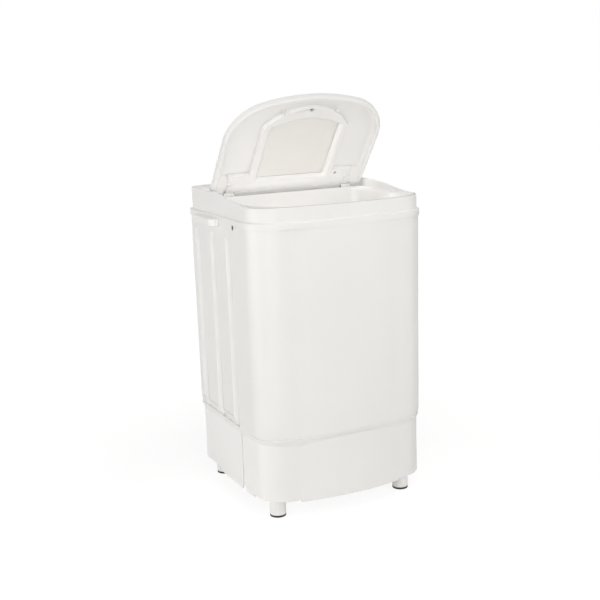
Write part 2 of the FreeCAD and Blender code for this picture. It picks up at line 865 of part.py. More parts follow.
def make_casing():
    skin = tapered("casing_block", BODY, "casing_low_inset", "lip_out", "casing_bottom", "seam_height")
    panel = front_panel("casing_front", "casing_low_inset", "lip_out", "casing_bottom", "seam_height")
    room = tapered("casing_room", BODY, "casing_low_inset + wall", "casing_inner", "casing_bottom",
                   "ledge_top - ledge_height")
    flutes, backs = [], []
    for n, y in enumerate(FLUTES):
        flute = body(f"flute_{n}")
        drawing = sketch(flute, f"flute_outline_{n}", lift="casing_bottom - wall")
        polygon(drawing, [
            ("flute_floor_x", f"{y} - flute_floor / 2"),
            ("body_width / 2", f"{y} - flute_width / 2"),
            ("body_width / 2", f"{y} + flute_width / 2"),
            ("flute_floor_x", f"{y} + flute_floor / 2"),
        ])
        pad(flute, drawing, "flute_top - casing_bottom + wall")
        back = box(f"flute_back_{n}", ("flute_floor_x - wall", f"{y} - flute_width / 2 - wall", "0"),
                   ("body_width", "flute_width + 2 * wall", "flute_top + wall"))
        flutes += [flute, mirrored(f"flute_left_{n}", flute)]
        backs += [back, mirrored(f"flute_back_left_{n}", back)]
    low_half = "(body_width / 2 - casing_low_inset)"
    end_back = box("panel_end_back", (f"{low_half} - panel_end_depth - wall", "flute_first", "0"),
                   ("body_width", "body_depth", "casing_bottom + panel_end_height"))
    backs += [end_back, mirrored("panel_end_back_left", end_back)]
    hollow = cut("casing_hollow", room, *backs)
    mouth = prism("casing_mouth", BODY, "casing_inner + ledge_width", "ledge_top - 2 * ledge_height",
                  "seam_height + wall")
    rebate = prism("casing_rebate", BODY, "casing_inner", "ledge_top", "seam_height + wall")
    shell = cut("casing_shell", fuse("casing_skin", skin, panel), hollow, mouth, rebate)
    end = body("panel_end")
    drawing = sketch(end, "panel_end_outline", "XZ_Plane", "-body_depth / 2")
    polygon(drawing, [
        (f"{low_half} - panel_end_depth", "casing_bottom - wall"),
        (f"{low_half} + wall", "casing_bottom - wall"),
        (f"{low_half} + wall", "casing_bottom + panel_end_height"),
        (low_half, "casing_bottom + panel_end_height"),
        (f"{low_half} - panel_end_depth", "casing_bottom"),
    ])
    pad(end, drawing, "body_depth / 2 - flute_first")
    shell = cut("casing_fluted", shell, *flutes, end, mirrored("panel_end_left", end))

    lugs, holes = [], []
    outer = "(body_width / 2 - lip_wall - screw_clear)"
    for n, (sign, y) in enumerate(COVER_SCREWS):
        start = f"{outer} - wall" if sign == "1" else f"-{outer}"
        lugs.append(box(f"cover_lug_{n}", (start, f"{y} - cover_tab_width / 2 - wall", "tab_bottom - wall"),
                        ("wall", "cover_tab_width + 2 * wall", "seam_height - tab_bottom + wall")))
        holes.append(cover_tab(f"tab_room_{n}", sign, y, "screw_clear", "2 * wall"))
        holes.append(cylinder(f"lug_hole_{n}", (f"{sign} * body_width / 2 - 5 * lip_wall", y,
                                                "cover_screw_height"), "small_hole", "10 * lip_wall", "x"))
    part(cut("outer_casing", fuse("casing_with_lugs", shell, *lugs), *holes))


def cover_tab(name, sign, y, clear, rise):
    """The tongue of the cover's lip that carries one fixing screw, or the room it needs."""
    depth = f"(lip_wall + ({clear}))"
    height = f"seam_height - tab_bottom + ({clear}) + ({rise})"
    start = f"body_width / 2 - {depth}" if sign == "1" else "-body_width / 2"
    return box(name, (start, f"{y} - cover_tab_width / 2 - ({clear})", f"tab_bottom - ({clear})"),
               (depth, f"cover_tab_width + 2 * ({clear})", height))


# Top cover

def grip(name, inset, bottom, top):
    """One hand grip: a block with rounded ends that stands out from the lip."""
    owner = body(name)
    drawing = sketch(owner, f"{name}_outline", lift=bottom)
    near = f"grip_middle - grip_length / 2 + ({inset})"
    far = f"grip_middle + grip_length / 2 - ({inset})"
    out = f"body_width / 2 + grip_out - ({inset})"
    start = "body_width / 2 - cut_over"
    bend = f"(grip_round - ({inset}))"
    polygon(drawing, [
        (start, near),
        (f"{out} - {bend}", near),
        (out, f"{near} + {bend}"),
        (out, f"{far} - {bend}"),
        (f"{out} - {bend}", far),
        (start, far),
    ], {1: (f"{out} - {bend}", "anticlockwise"), 3: (f"{out} - {bend}", "anticlockwise")})
    pad(owner, drawing, f"({top}) - ({bottom})")
    return owner


def rim_sweep():
    """All that lies above the rim's line, which falls in an S from the rear deck to the front."""
    sweep = body("rim_sweep")
    drawing = sketch(sweep, "rim_line", "YZ_Plane", "-body_width")
    polygon(drawing, [
        ("-body_depth", "rim_front_height"),
        ("rim_sweep_front", "rim_front_height"),
        ("(rim_sweep_back + rim_sweep_front) / 2", "(rim_back_height + rim_front_height) / 2"),
        ("rim_sweep_back", "rim_back_height"),
        ("rim_sweep_back", "rim_back_height + 2 * wall"),
        ("-body_depth", "rim_back_height + 2 * wall"),
    ], {1: ("rim_sweep_front", "anticlockwise"), 2: ("rim_sweep_back", "clockwise")})
    pad(sweep, drawing, "2 * body_width")
    return sweep


def hinge_ears():
    ears = []
    for side, start in (("inner", "knuckle_place - knuckle_length / 2 - ear_thick"),
                        ("outer", "knuckle_place + knuckle_length / 2")):
        post = box(f"ear_post_{side}", (start, "hinge_place - ear_radius", "hinge_height - trough_depth"),
                   ("ear_thick", "2 * ear_radius", "trough_depth"))
        cap = cylinder(f"ear_cap_{side}", (start, "hinge_place", "hinge_height"), "ear_radius",
                       "ear_thick", "x")
        ears.append(fuse(f"ear_{side}", post, cap))
    return ears + [mirrored(f"{ear.Name}_left", ear) for ear in ears]


def make_top_cover():
    lip = prism("cover_lip", BODY, "0", "seam_height", "lip_top")
    walls = prism("cover_block", BODY, "cover_set_back", "seam_height", "rim_back_height")
    solid = fuse("cover_solid", lip, walls)
    lip_room = prism("lip_room", BODY, "lip_wall", "seam_height - wall", "lip_top - wall")
    low_room = prism("deck_room", BODY, "rim_inner", "seam_height - wall", "deck_height - wall")
    wide, deep, tall = "2 * body_width", "body_depth", "2 * seam_height"
    behind = box("behind_hinge", ("-body_width", "hinge_back + wall", "0"), (wide, deep, tall))
    rear_block = prism("rear_block", BODY, "rim_inner", "deck_height - 3 * wall", "rim_back_height - wall")
    rear_room = common("rear_room", rear_block, behind)
    trough_floor = "(hinge_height - trough_depth)"
    trough_block = box("trough_block",
                       ("-trough_half - wall", "hinge_place - opening_back_gap", f"{trough_floor} - wall"),
                       ("2 * trough_half + 2 * wall", "opening_back_gap + trough_back + wall",
                        f"deck_height - {trough_floor} + wall"))
    skirt = prism("skirt_block", OPENING, "-skirt_wall", "seam_height - 2 * wall", "deck_height")
    rooms = cut("cover_hollow", fuse("cover_rooms", lip_room, low_room, rear_room), trough_block, skirt)
    before = box("before_platform", ("-body_width", "-body_depth", "0"), (wide, f"{deep} + hinge_back", tall))
    well_block = prism("well_block", BODY, "rim_inner", "deck_height", "rim_back_height + wall")
    well = common("lid_well", well_block, before)
    trough = box("trough", ("-trough_half", "hinge_place - trough_front", trough_floor),
                 ("2 * trough_half", "trough_front + trough_back", "4 * wall"))
    opening = prism("opening", OPENING, "0", "seam_height - 2 * wall", "deck_height + wall")
    below = box("below_seam", ("-body_width", "-body_depth", "0"), (wide, "2 * body_depth", "seam_height"))
    shell = cut("cover_shell", solid, rim_sweep(), rooms, well, trough, opening, below)

    grip_block = grip("grip_block", "0", "grip_top - grip_drop", "grip_top")
    grip_room = grip("grip_room", "wall", "grip_top - grip_drop - wall", "grip_top - wall")
    side_room = box("casing_side_room", ("0", "grip_middle - grip_length", "0"),
                    ("body_width / 2 + fit_clear - lip_out / 2", "2 * grip_length", "seam_height"))
    handle = cut("grip_right", grip_block, grip_room, side_room)
    tabs = [cover_tab(f"cover_tab_{n}", sign, y, "0", "wall") for n, (sign, y) in enumerate(COVER_SCREWS)]
    full = fuse("cover_full", shell, handle, mirrored("grip_left", handle), *hinge_ears(), *tabs)

    pin_start = "-body_width / 2 + cover_set_back + 2 * wall"
    holes = [cylinder("pin_hole", (pin_start, "hinge_place", "hinge_height"), "pin_radius + running_clear",
                      "body_width - 2 * cover_set_back - 4 * wall", "x")]
    reach = "3 * lip_wall"
    for n, (sign, y) in enumerate(COVER_SCREWS):
        face = f"{sign} * body_width / 2"
        seat = f"{face} - lip_wall / 2" if sign == "1" else f"{face} + lip_wall / 2 - {reach}"
        holes.append(cylinder(f"lip_seat_{n}", (seat, y, "cover_screw_height"), "cover_screw_seat",
                              reach, "x"))
        holes.append(cylinder(f"lip_hole_{n}", (f"{face} - {reach}", y, "cover_screw_height"),
                              "small_hole", f"2 * {reach}", "x"))
    holes.append(centred_box("fascia_recess", ("0", "knob_place"), "fascia_bottom",
                             ("fascia_width + 2 * fit_clear", "fascia_depth + 2 * fit_clear", "4 * wall")))
    for side, sign in SIDES.items():
        spot = (f"{sign} * knob_spacing / 2", "knob_place", "deck_height")
        holes.append(cylinder(f"deck_hole_{side}", spot, "2 * spindle_radius",
                              "rim_back_height - deck_height + cut_over"))
    part(cut("top_cover", full, *holes))


def make_cover_screws():
    screws = []
    for n, (sign, y) in enumerate(COVER_SCREWS):
        seat = f"{sign} * (body_width / 2 - lip_wall / 2)"
        head_length = "(lip_wall / 2 - cover_screw_sink)"
        reach = "(lip_wall + cover_screw_bite)"
        head_x = seat if sign == "1" else f"{seat} - {head_length}"
        shank_x = f"{seat} - {reach}" if sign == "1" else seat
        head = cylinder(f"cover_screw_head_{n}", (head_x, y, "cover_screw_height"),
                        "cover_screw_seat - cover_screw_play", head_length, "x")
        shank = cylinder(f"cover_screw_shank_{n}", (shank_x, y, "cover_screw_height"),
                         "small_screw_radius", reach, "x")
        screws.append(fuse(f"cover_screw_{n}", head, shank))
    part(group("cover_screws", *screws))


def make_hinge_pins():
    for side, sign in SIDES.items():
        start = f"{sign} * knuckle_place - knuckle_length / 2 - ear_thick"
        part(cylinder(f"hinge_pin_{side}", (start, "hinge_place", "hinge_height"), "pin_radius",
                      "knuckle_length + 2 * ear_thick", "x"))


# Controls on the rear deck

def make_controls():
    plate = centred_box("fascia_plate", ("0", "knob_place"), "fascia_bottom",
                        ("fascia_width", "fascia_depth", "fascia_thick"))
    holes = [cylinder(f"fascia_hole_{side}", (f"{sign} * knob_spacing / 2", "knob_place", "deck_height"),
                      "2 * spindle_radius", "knob_seat - deck_height") for side, sign in SIDES.items()]
    part(cut("control_fascia", plate, *holes))
    controls = (
        ("timer", "wash_timer", "1", "timer_side", "timer_height"),
        ("selector", "selector_switch", "-1", "switch_side", "switch_height"),
    )
    for name, unit, sign, side, height in controls:
        x = f"({sign} * knob_spacing / 2)"
        bottom = f"(control_ceiling - {height})"
        case = centred_box(f"{unit}_case", (x, "knob_place"), bottom, (side, side, height))
        bore = cylinder(f"{unit}_bore", (x, "knob_place", f"{bottom} + wall"),
                        "spindle_radius + running_clear", height)
        part(cut(unit, case, bore))
        spindle_end = f"({bottom} + wall + fit_clear)"
        part(cylinder(f"{name}_spindle", (x, "knob_place", spindle_end), "spindle_radius",
                      f"knob_seat + knob_height / 2 - {spindle_end}"))
        knob = turned(f"{name}_knob_round", [
            ("spindle_radius", "0"),
            ("knob_radius", "0"),
            ("knob_radius", "knob_skirt"),
            (f"knob_radius * {KNOB_WAIST}", "knob_shoulder"),
            (f"knob_radius * {KNOB_NECK}", "knob_height - knob_bevel"),
            (f"knob_radius * {KNOB_TOP}", "knob_height"),
            ("0", "knob_height"),
            ("0", "knob_height / 2"),
            ("spindle_radius", "knob_height / 2"),
        ], (x, "knob_place", "knob_seat"))
        scallops = []
        for end, way in SIDES.items():
            spot = (f"{x} + {way} * knob_radius * {KNOB_SCALLOP_REACH}", "knob_place",
                    "knob_seat + knob_shoulder")
            scallops.append(cylinder(f"{name}_scallop_{end}", spot, f"knob_radius * {KNOB_SCALLOP_RADIUS}",
                                     "knob_height"))
        part(cut(f"{name}_knob", knob, *scallops))


# Lid, drawn shut about its hinge axis and then turned open

FRAME_SCREWS = [("0", "frame_hole_reach + frame_hole_step"), ("-frame_hole_offset", "frame_hole_reach"),
                ("frame_hole_offset", "frame_hole_reach")]
BRACKET_SCREWS = {side: (f"{sign} * bracket_screw_place", "bracket_far - bracket_screw_setback")
                  for side, sign in SIDES.items()}
LID_SCREWS = FRAME_SCREWS + list(BRACKET_SCREWS.values())


def lid_frame(thing):
    thing.Placement = FreeCAD.Placement(VECTOR(), FreeCAD.Rotation(VECTOR(-1, 0, 0), SIZES["lid_angle"]))
    bind(thing, {"Placement.Rotation.Angle": "lid_angle"})
    return place(thing, ("0", "hinge_place", "hinge_height"))


def lid_seat(index):
    """The counterbore of a lid screw: a wide one in the middle of the frame, small ones elsewhere."""
    return "lid_screw_seat" if index == 0 else "lid_small_seat"


def counterbore(name, x, reach, seat):
    """The head's seat and the shank's hole for one lid screw."""
    head = cylinder(f"{name}_seat", (x, f"-({reach})", "frame_under - cut_over"), seat,
                    "frame_thick - lid_seat_floor + cut_over")
    hole = cylinder(f"{name}_hole", (x, f"-({reach})", "frame_under"), "small_hole", "frame_thick + cut_over")
    return [head, hole]


def make_lid_shell():
    shell = body("lid_blank")
    drawing = sketch(shell, "lid_outline")
    outline(drawing, LID)
    pad(shell, drawing, "lid_thick")
    drawing = sketch(shell, "lid_hollow")
    outline(drawing, {**LID, "back_corner": "lid_back_corner + lid_rim"}, "lid_rim")
    pocket(shell, drawing, "plate_under", flip=True)
    drawing = sketch(shell, "window_hole")
    arch(drawing, "pane_half", "window_bottom - window_lap", "window_spring", "window_rise + window_lap")
    pocket(shell, drawing, "lid_thick + cut_over", flip=True)
    notch_width = "(knuckle_length + 2 * ear_thick + 2 * hinge_notch_play)"
    notches = [box(f"hinge_notch_{side}",
                   (f"{sign} * knuckle_place - {notch_width} / 2", "-hinge_notch_depth", "-cut_over"),
                   (notch_width, "hinge_notch_depth + ear_radius", "lid_thick + 2 * cut_over"))
               for side, sign in SIDES.items()]
    holes = [cylinder(f"lid_hole_{n}", (x, f"-({reach})", "plate_under - cut_over"), "small_hole",
                      "lid_screw_bite - lid_seat_floor + screw_clear + cut_over")
             for n, (x, reach) in enumerate(LID_SCREWS)]
    part(lid_frame(cut("lid_shell", shell, *notches, *holes)))


def make_lid_window():
    pane = body("lid_window")
    drawing = sketch(pane, "pane_outline", lift="plate_under")
    arch(drawing, "pane_half - screw_clear", "window_bottom - window_lap + screw_clear", "window_spring",
         "window_rise + window_lap - screw_clear")
    pad(pane, drawing, "lid_skin")
    part(lid_frame(pane))

    frame = body("frame_blank")
    drawing = sketch(frame, "frame_outline", lift="frame_under")
    arch(drawing, "frame_width / 2", "frame_bottom", "window_spring", "frame_rise")
    pad(frame, drawing, "frame_thick")
    face = sketch(frame, "frame_window", lift="frame_under")
    arch(face, "window_width / 2 + window_bevel", "window_bottom - window_bevel", "window_spring",
         "window_rise + window_bevel")
    throat = sketch(frame, "frame_throat", lift="plate_under")
    arch(throat, "window_width / 2", "window_bottom", "window_spring", "window_rise")
    loft(frame, face, throat, "PartDesign::SubtractiveLoft")
    holes = []
    for n, (x, reach) in enumerate(FRAME_SCREWS):
        holes += counterbore(f"frame_screw_{n}", x, reach, lid_seat(n))
    part(lid_frame(cut("lid_window_frame", frame, *holes)))


def make_hinge_brackets():
    width = "(knuckle_length - 2 * fit_clear)"
    for side, sign in SIDES.items():
        start = f"{sign} * knuckle_place - knuckle_length / 2 + fit_clear"
        knuckle = cylinder(f"knuckle_{side}", (start, "0", "0"), "knuckle_radius", width, "x")
        arm = box(f"hinge_arm_{side}", (start, "-bracket_far", "frame_under + hinge_arm_set_in"),
                  (width, "bracket_far + knuckle_radius - neck_set_back", "frame_thick - hinge_arm_set_in"))
        neck = box(f"hinge_neck_{side}", (start, "-knuckle_radius", "0"),
                   (width, "2 * knuckle_radius - neck_set_back", "plate_under - neck_short"))
        plate_start = "bracket_start" if sign == "1" else "-bracket_end"
        plate = box(f"hinge_plate_{side}", (plate_start, "-bracket_far", "frame_under"),
                    ("bracket_end - bracket_start", "bracket_far - bracket_near", "frame_thick"))
        solid = fuse(f"hinge_solid_{side}", knuckle, arm, neck, plate)
        holes = counterbore(f"bracket_screw_{side}", *BRACKET_SCREWS[side], "lid_small_seat")
        bore = cylinder(f"knuckle_bore_{side}", (f"{sign} * knuckle_place - knuckle_length", "0", "0"),
                        "pin_radius + running_clear", "2 * knuckle_length", "x")
        part(lid_frame(cut(f"hinge_bracket_{side}", solid, bore, *holes)))


def make_lid_fittings():
    screws = []
    for n, (x, reach) in enumerate(LID_SCREWS):
        top = "(plate_under - lid_seat_floor)"
        head = cylinder(f"lid_screw_head_{n}", (x, f"-({reach})", f"{top} - lid_screw_head"),
                        f"{lid_seat(n)} - lid_seat_play", "lid_screw_head")
        shank = cylinder(f"lid_screw_shank_{n}", (x, f"-({reach})", top), "small_screw_radius",
                         "lid_screw_bite")
        screws.append(fuse(f"lid_screw_{n}", head, shank))
    part(lid_frame(group("lid_screws", *screws)))
    buffer_y = "hinge_place - buffer_reach"
    buffers = [cylinder(f"lid_buffer_{side}", (f"{sign} * buffer_place", buffer_y, "deck_height"),
                        "buffer_radius", "hinge_lift - screw_clear") for side, sign in SIDES.items()]
    part(group("lid_buffers", *buffers))


# Tub and drive line

def bolt_spot(index):
    turn = 90 + 120 * index
    return (f"housing_bolt_circle * cos({turn} deg)", f"tub_place + housing_bolt_circle * sin({turn} deg)")


BOLT_SPOTS = [bolt_spot(index) for index in range(3)]


def make_tub():
    bowl = turned("tub_bowl", [
        ("tub_hole", "tub_under"),
        ("tub_floor_radius + tub_wall", "tub_under"),
        ("tub_top_radius + tub_wall", "seam_height"),
        ("tub_top_radius", "seam_height"),
        ("tub_floor_radius", "tub_floor_height"),
        ("tub_hole", "tub_floor_height"),
    ], AXIS)
    plate = prism("tub_plate", BODY, "casing_inner + wall", "ledge_top", "seam_height")
    mouth = cylinder("tub_mouth", ("0", "tub_place", "ledge_top - cut_over"), "tub_top_radius", "2 * wall")
    low, through = "tub_under - cut_over", "tub_floor_thick + 2 * cut_over"
    holes = [cylinder("tub_drain", ("drain_x", "drain_y", low), "drain_bore", through)]
    holes += [cylinder(f"tub_bolt_hole_{n}", (x, y, low), "screw_hole", through)
              for n, (x, y) in enumerate(BOLT_SPOTS)]
    part(cut("wash_tub", fuse("tub_solid", bowl, cut("tub_flange", plate, mouth)), *holes))


def make_bearing():
    housing = turned("housing_blank", [
        ("housing_bore", "housing_bottom"),
        ("housing_radius", "housing_bottom"),
        ("housing_radius", "flange_under - housing_flare"),
        ("housing_radius + housing_flare", "flange_under"),
        ("housing_flange", "flange_under"),
        ("housing_flange", "tub_under"),
        ("tub_hole - fit_clear", "tub_under"),
        ("tub_hole - fit_clear", "tub_floor_height"),
        ("housing_bore", "tub_floor_height"),
    ], AXIS)
    holes = [cylinder(f"housing_bolt_hole_{n}", (x, y, "housing_bottom"), "screw_hole",
                      "tub_under - housing_bottom + cut_over") for n, (x, y) in enumerate(BOLT_SPOTS)]
    part(cut("bearing_housing", housing, *holes))
    bolts = []
    for n, (x, y) in enumerate(BOLT_SPOTS):
        head = cylinder(f"housing_bolt_head_{n}", (x, y, "flange_under - screw_head_height"), "screw_head",
                        "screw_head_height")
        shank = cylinder(f"housing_bolt_shank_{n}", (x, y, "flange_under"), "screw_radius",
                         "housing_flange_thick + tub_floor_thick - screw_clear")
        bolts.append(fuse(f"housing_bolt_{n}", head, shank))
    part(group("housing_bolts", *bolts))
    seal_low = "(tub_under - seal_height)"
    for name, low in (("lower_bush", "housing_bottom"), ("upper_bush", f"{seal_low} - bush_length")):
        part(turned(name, [
            ("shaft_hole", low),
            ("housing_bore", low),
            ("housing_bore", f"{low} + bush_length"),
            ("shaft_hole", f"{low} + bush_length"),
        ], AXIS))
    part(turned("shaft_seal", [
        ("shaft_hole", seal_low),
        ("housing_bore", seal_low),
        ("housing_bore", "tub_floor_height"),
        ("shaft_hole + seal_lip", "tub_floor_height"),
        ("shaft_hole", f"{seal_low} + seal_lip_height"),
    ], AXIS))


def make_pulsator():
    disc = turned("pulsator_disc", [
        ("shaft_radius", "pulsator_low"),
        ("pulsator_radius - pulsator_edge", "pulsator_low"),
        ("pulsator_radius", "pulsator_low + pulsator_edge"),
        ("pulsator_radius - pulsator_top_edge", "pulsator_top - pulsator_top_edge"),
        (f"pulsator_radius * {DISH_SHARE}", "pulsator_top"),
        ("boss_foot_radius", "pulsator_top + boss_foot_rise"),
        ("boss_radius", "boss_top - boss_shoulder_drop"),
        ("boss_top_radius", "boss_top"),
        ("boss_well_radius", "boss_top"),
        ("boss_well_radius", "boss_well"),
        ("pulsator_screw_hole", "boss_well"),
        ("pulsator_screw_hole", "shaft_top"),
        ("shaft_radius", "shaft_top"),
    ], AXIS)
    vanes = []
    for n in range(SIZES["vane_count"]):
        vane = body(f"vane_{n}")
        drawing = sketch(vane, f"vane_outline_{n}", "XZ_Plane", "-vane_width / 2")
        tip = "pulsator_radius - vane_tip_gap"
        polygon(drawing, [
            ("vane_start", "pulsator_low + vane_sink"),
            (tip, "pulsator_low + vane_sink"),
            (f"{tip} - vane_tip_slope", "pulsator_top + vane_tip_rise"),
            (f"pulsator_radius * {VANE_BEND_SHARE}", f"pulsator_top + vane_height * {VANE_BEND_RISE}"),
            ("vane_start", "boss_top - vane_crown_drop"),
        ])
        pad(vane, drawing, "vane_width")
        turn = 360 * n / SIZES["vane_count"]
        vane.Placement = FreeCAD.Placement(VECTOR(), FreeCAD.Rotation(VECTOR(0, 0, 1), turn))
        vanes.append(place(vane, AXIS))
    part(fuse("pulsator", disc, *vanes))
    part(turned("pulsator_screw", [
        ("0", "shaft_top"),
        ("pulsator_screw_hole - screw_clear", "shaft_top"),
        ("pulsator_screw_hole - screw_clear", "boss_well"),
        ("pulsator_screw_head", "boss_well"),
        ("pulsator_screw_head - pulsator_screw_bevel", "boss_well + pulsator_screw_height"),
        ("0", "boss_well + pulsator_screw_height"),
    ], AXIS))


def make_drive():
    part(turned("drive_shaft", [
        ("0", "pulley_low - shaft_end_length"),
        ("shaft_end_radius", "pulley_low - shaft_end_length"),
        ("shaft_end_radius", "pulley_low"),
        ("shaft_radius", "pulley_low"),
        ("shaft_radius", "shaft_top"),
        ("0", "shaft_top"),
    ], AXIS))
    rim = "driven_radius - pulley_rim_depth"
    part(turned("driven_pulley", [
        ("shaft_radius", "pulley_low"),
        ("hub_radius", "pulley_low"),
        ("hub_radius", "pulley_plane - pulley_web / 2"),
        (rim, "pulley_plane - pulley_web / 2"),
        (rim, "pulley_low"),
        *grooved("driven_radius"),
        (rim, "pulley_high"),
        (rim, "pulley_plane + pulley_web / 2"),
        ("hub_radius", "pulley_plane + pulley_web / 2"),
        ("hub_radius", "pulley_high + hub_rise"),
        ("shaft_radius", "pulley_high + hub_rise"),
    ], AXIS))
    part(turned("pulley_nut", [
        ("shaft_end_radius", "pulley_low - nut_height"),
        ("nut_radius", "pulley_low - nut_height"),
        ("nut_radius", "pulley_low"),
        ("shaft_end_radius", "pulley_low"),
    ], AXIS))


def grooved(radius):
    """The outside of a pulley's half profile, with a flat-bottomed belt groove."""
    root = f"({radius} - groove_depth)"
    half = "(belt_width / 2 + fit_clear)"
    return [
        (radius, "pulley_low"),
        (radius, f"pulley_plane - {half}"),
        (root, f"pulley_plane - {half}"),
        (root, f"pulley_plane + {half}"),
        (radius, f"pulley_plane + {half}"),
        (radius, "pulley_high"),
    ]


def make_belt():
    """A flat belt round both pulleys, clear of the groove floors by the running gap."""
    gap = number("fit_clear")
    thick = number("groove_depth") - 2 * gap
    wide = number("belt_width")
    far = VECTOR(number("motor_x"), number("motor_y - tub_place"), 0)
    lean = math.atan2(far.y, far.x)

    def loop(extra):
        big = number("driven_radius - groove_depth") + gap + extra
        small = number("motor_pulley_radius - groove_depth") + gap + extra
        spread = math.acos((big - small) / far.Length)

        def at(centre, size, turn):
            return centre + VECTOR(math.cos(turn), math.sin(turn), 0) * size

        zero = VECTOR()
        upper, lower = lean + spread, lean - spread
        edges = [
            Part.Arc(at(zero, big, upper), at(zero, big, lean + math.pi), at(zero, big, lower)).toShape(),
            Part.LineSegment(at(zero, big, lower), at(far, small, lower)).toShape(),
            Part.Arc(at(far, small, lower), at(far, small, lean), at(far, small, upper)).toShape(),
            Part.LineSegment(at(far, small, upper), at(zero, big, upper)).toShape(),
        ]
        return Part.Face(Part.Wire(edges)).extrude(VECTOR(0, 0, wide))

    belt = doc.addObject("Part::Feature", "drive_belt")
    belt.Shape = loop(thick).cut(loop(0))
    middle = VECTOR(0, number("tub_place"), number("pulley_plane") - wide / 2)
    belt.Placement = FreeCAD.Placement(middle, FreeCAD.Rotation())
    part(belt)


# Motor

MOTOR_AT = ("motor_x", "motor_y")
MOTOR_BOLTS = [(f"motor_x + {i} * motor_bolt_offset", f"motor_y + {j} * motor_bolt_offset")
               for i in (-1, 1) for j in (-1, 1)]


def motor_bolt_holes(name, low, length):
    return [cylinder(f"{name}_bolt_hole_{n}", (*spot, f"{low} - cut_over"), "screw_hole",
                     f"{length} + 2 * cut_over") for n, spot in enumerate(MOTOR_BOLTS)]


def make_motor():
    square = ("motor_side", "motor_side")
    for name, low, room_low in (("motor_lower_shell", "motor_bottom", "motor_bottom + wall"),
                                ("motor_upper_shell", "stator_top", "stator_top - wall")):
        case = centred_box(f"{name}_case", MOTOR_AT, low, (*square, "shell_height"))
        hollow = cylinder(f"{name}_room", (*MOTOR_AT, room_low), "stator_bore + winding_room", "shell_height")
        bore = cylinder(f"{name}_bore", (*MOTOR_AT, f"{low} - cut_over"), "rotor_shaft + running_clear",
                        "shell_height + 2 * cut_over")
        part(cut(name, case, hollow, bore, *motor_bolt_holes(name, low, "shell_height")))
    core = centred_box("stator_block", MOTOR_AT, "shell_top", (*square, "stator_height"))
    bore = cylinder("stator_hole", (*MOTOR_AT, "shell_top - cut_over"), "stator_bore",
                    "stator_height + 2 * cut_over")
    part(cut("motor_stator", core, bore, *motor_bolt_holes("stator", "shell_top", "stator_height")))
    bolts = []
    for n, (x, y) in enumerate(MOTOR_BOLTS):
        head = cylinder(f"motor_bolt_head_{n}", (x, y, "motor_top"), "screw_head", "screw_head_height")
        shank = cylinder(f"motor_bolt_shank_{n}", (x, y, "plate_under_motor"), "screw_radius",
                         "motor_top - plate_under_motor")
        bolts.append(fuse(f"motor_bolt_{n}", head, shank))
    part(group("motor_bolts", *bolts))
    core_radius = "stator_bore - 2 * fit_clear"
    part(turned("motor_rotor", [
        ("0", "pulley_low"),
        ("rotor_shaft", "pulley_low"),
        ("rotor_shaft", "shell_top + rotor_end_gap"),
        (core_radius, "shell_top + rotor_end_gap"),
        (core_radius, "stator_top - rotor_end_gap"),
        ("rotor_shaft", "stator_top - rotor_end_gap"),
        ("rotor_shaft", "motor_top - rotor_top_gap"),
        ("0", "motor_top - rotor_top_gap"),
    ], (*MOTOR_AT, "0")))
    part(turned("motor_pulley", [
        ("rotor_shaft", "pulley_low"),
        *grooved("motor_pulley_radius"),
        ("rotor_shaft", "pulley_high"),
    ], (*MOTOR_AT, "0")))


def make_motor_mounting():
    plate = body("motor_plate_blank")
    drawing = sketch(plate, "motor_plate_outline", lift="plate_under_motor")
    edge = "(post_radius + plate_margin)"
    polygon(drawing, [
        (f"post_left - {edge}", f"post_far + {edge}"),
        (f"post_left - {edge}", f"post_far - {edge} - plate_corner"),
        (f"post_right - {edge} - plate_corner", f"post_near - {edge}"),
        (f"post_right + {edge}", f"post_near - {edge}"),
        (f"post_right + {edge}", f"post_far + {edge}"),
    ])
    pad(plate, drawing, "plate_thick")
    low, through = "plate_under_motor - cut_over", "plate_thick + 2 * cut_over"
    holes = [cylinder(f"plate_post_hole_{n}", (x, y, low), "screw_hole", through)
             for n, (x, y) in enumerate(MOTOR_POSTS)]
    holes += motor_bolt_holes("plate", "plate_under_motor", "plate_thick")
    holes.append(cylinder("plate_shaft_hole", (*MOTOR_AT, low), "rotor_shaft + plate_shaft_play", through))
    part(cut("motor_plate", plate, *holes))
    grommets, screws = [], []
    for n, (x, y) in enumerate(MOTOR_POSTS):
        blank = cylinder(f"grommet_blank_{n}", (x, y, "post_top"), "post_radius", "grommet_height")
        hole = cylinder(f"grommet_hole_{n}", (x, y, "post_top"), "screw_hole", "grommet_height")
        grommets.append(cut(f"grommet_{n}", blank, hole))
        screws.append(screw(f"plate_screw_{n}", (x, y, "motor_bottom"), "screw_head", "screw_radius",
                            "plate_thick + grommet_height + post_screw_depth"))
    part(group("motor_grommets", *grommets))
    part(group("motor_plate_screws", *screws))


# Services

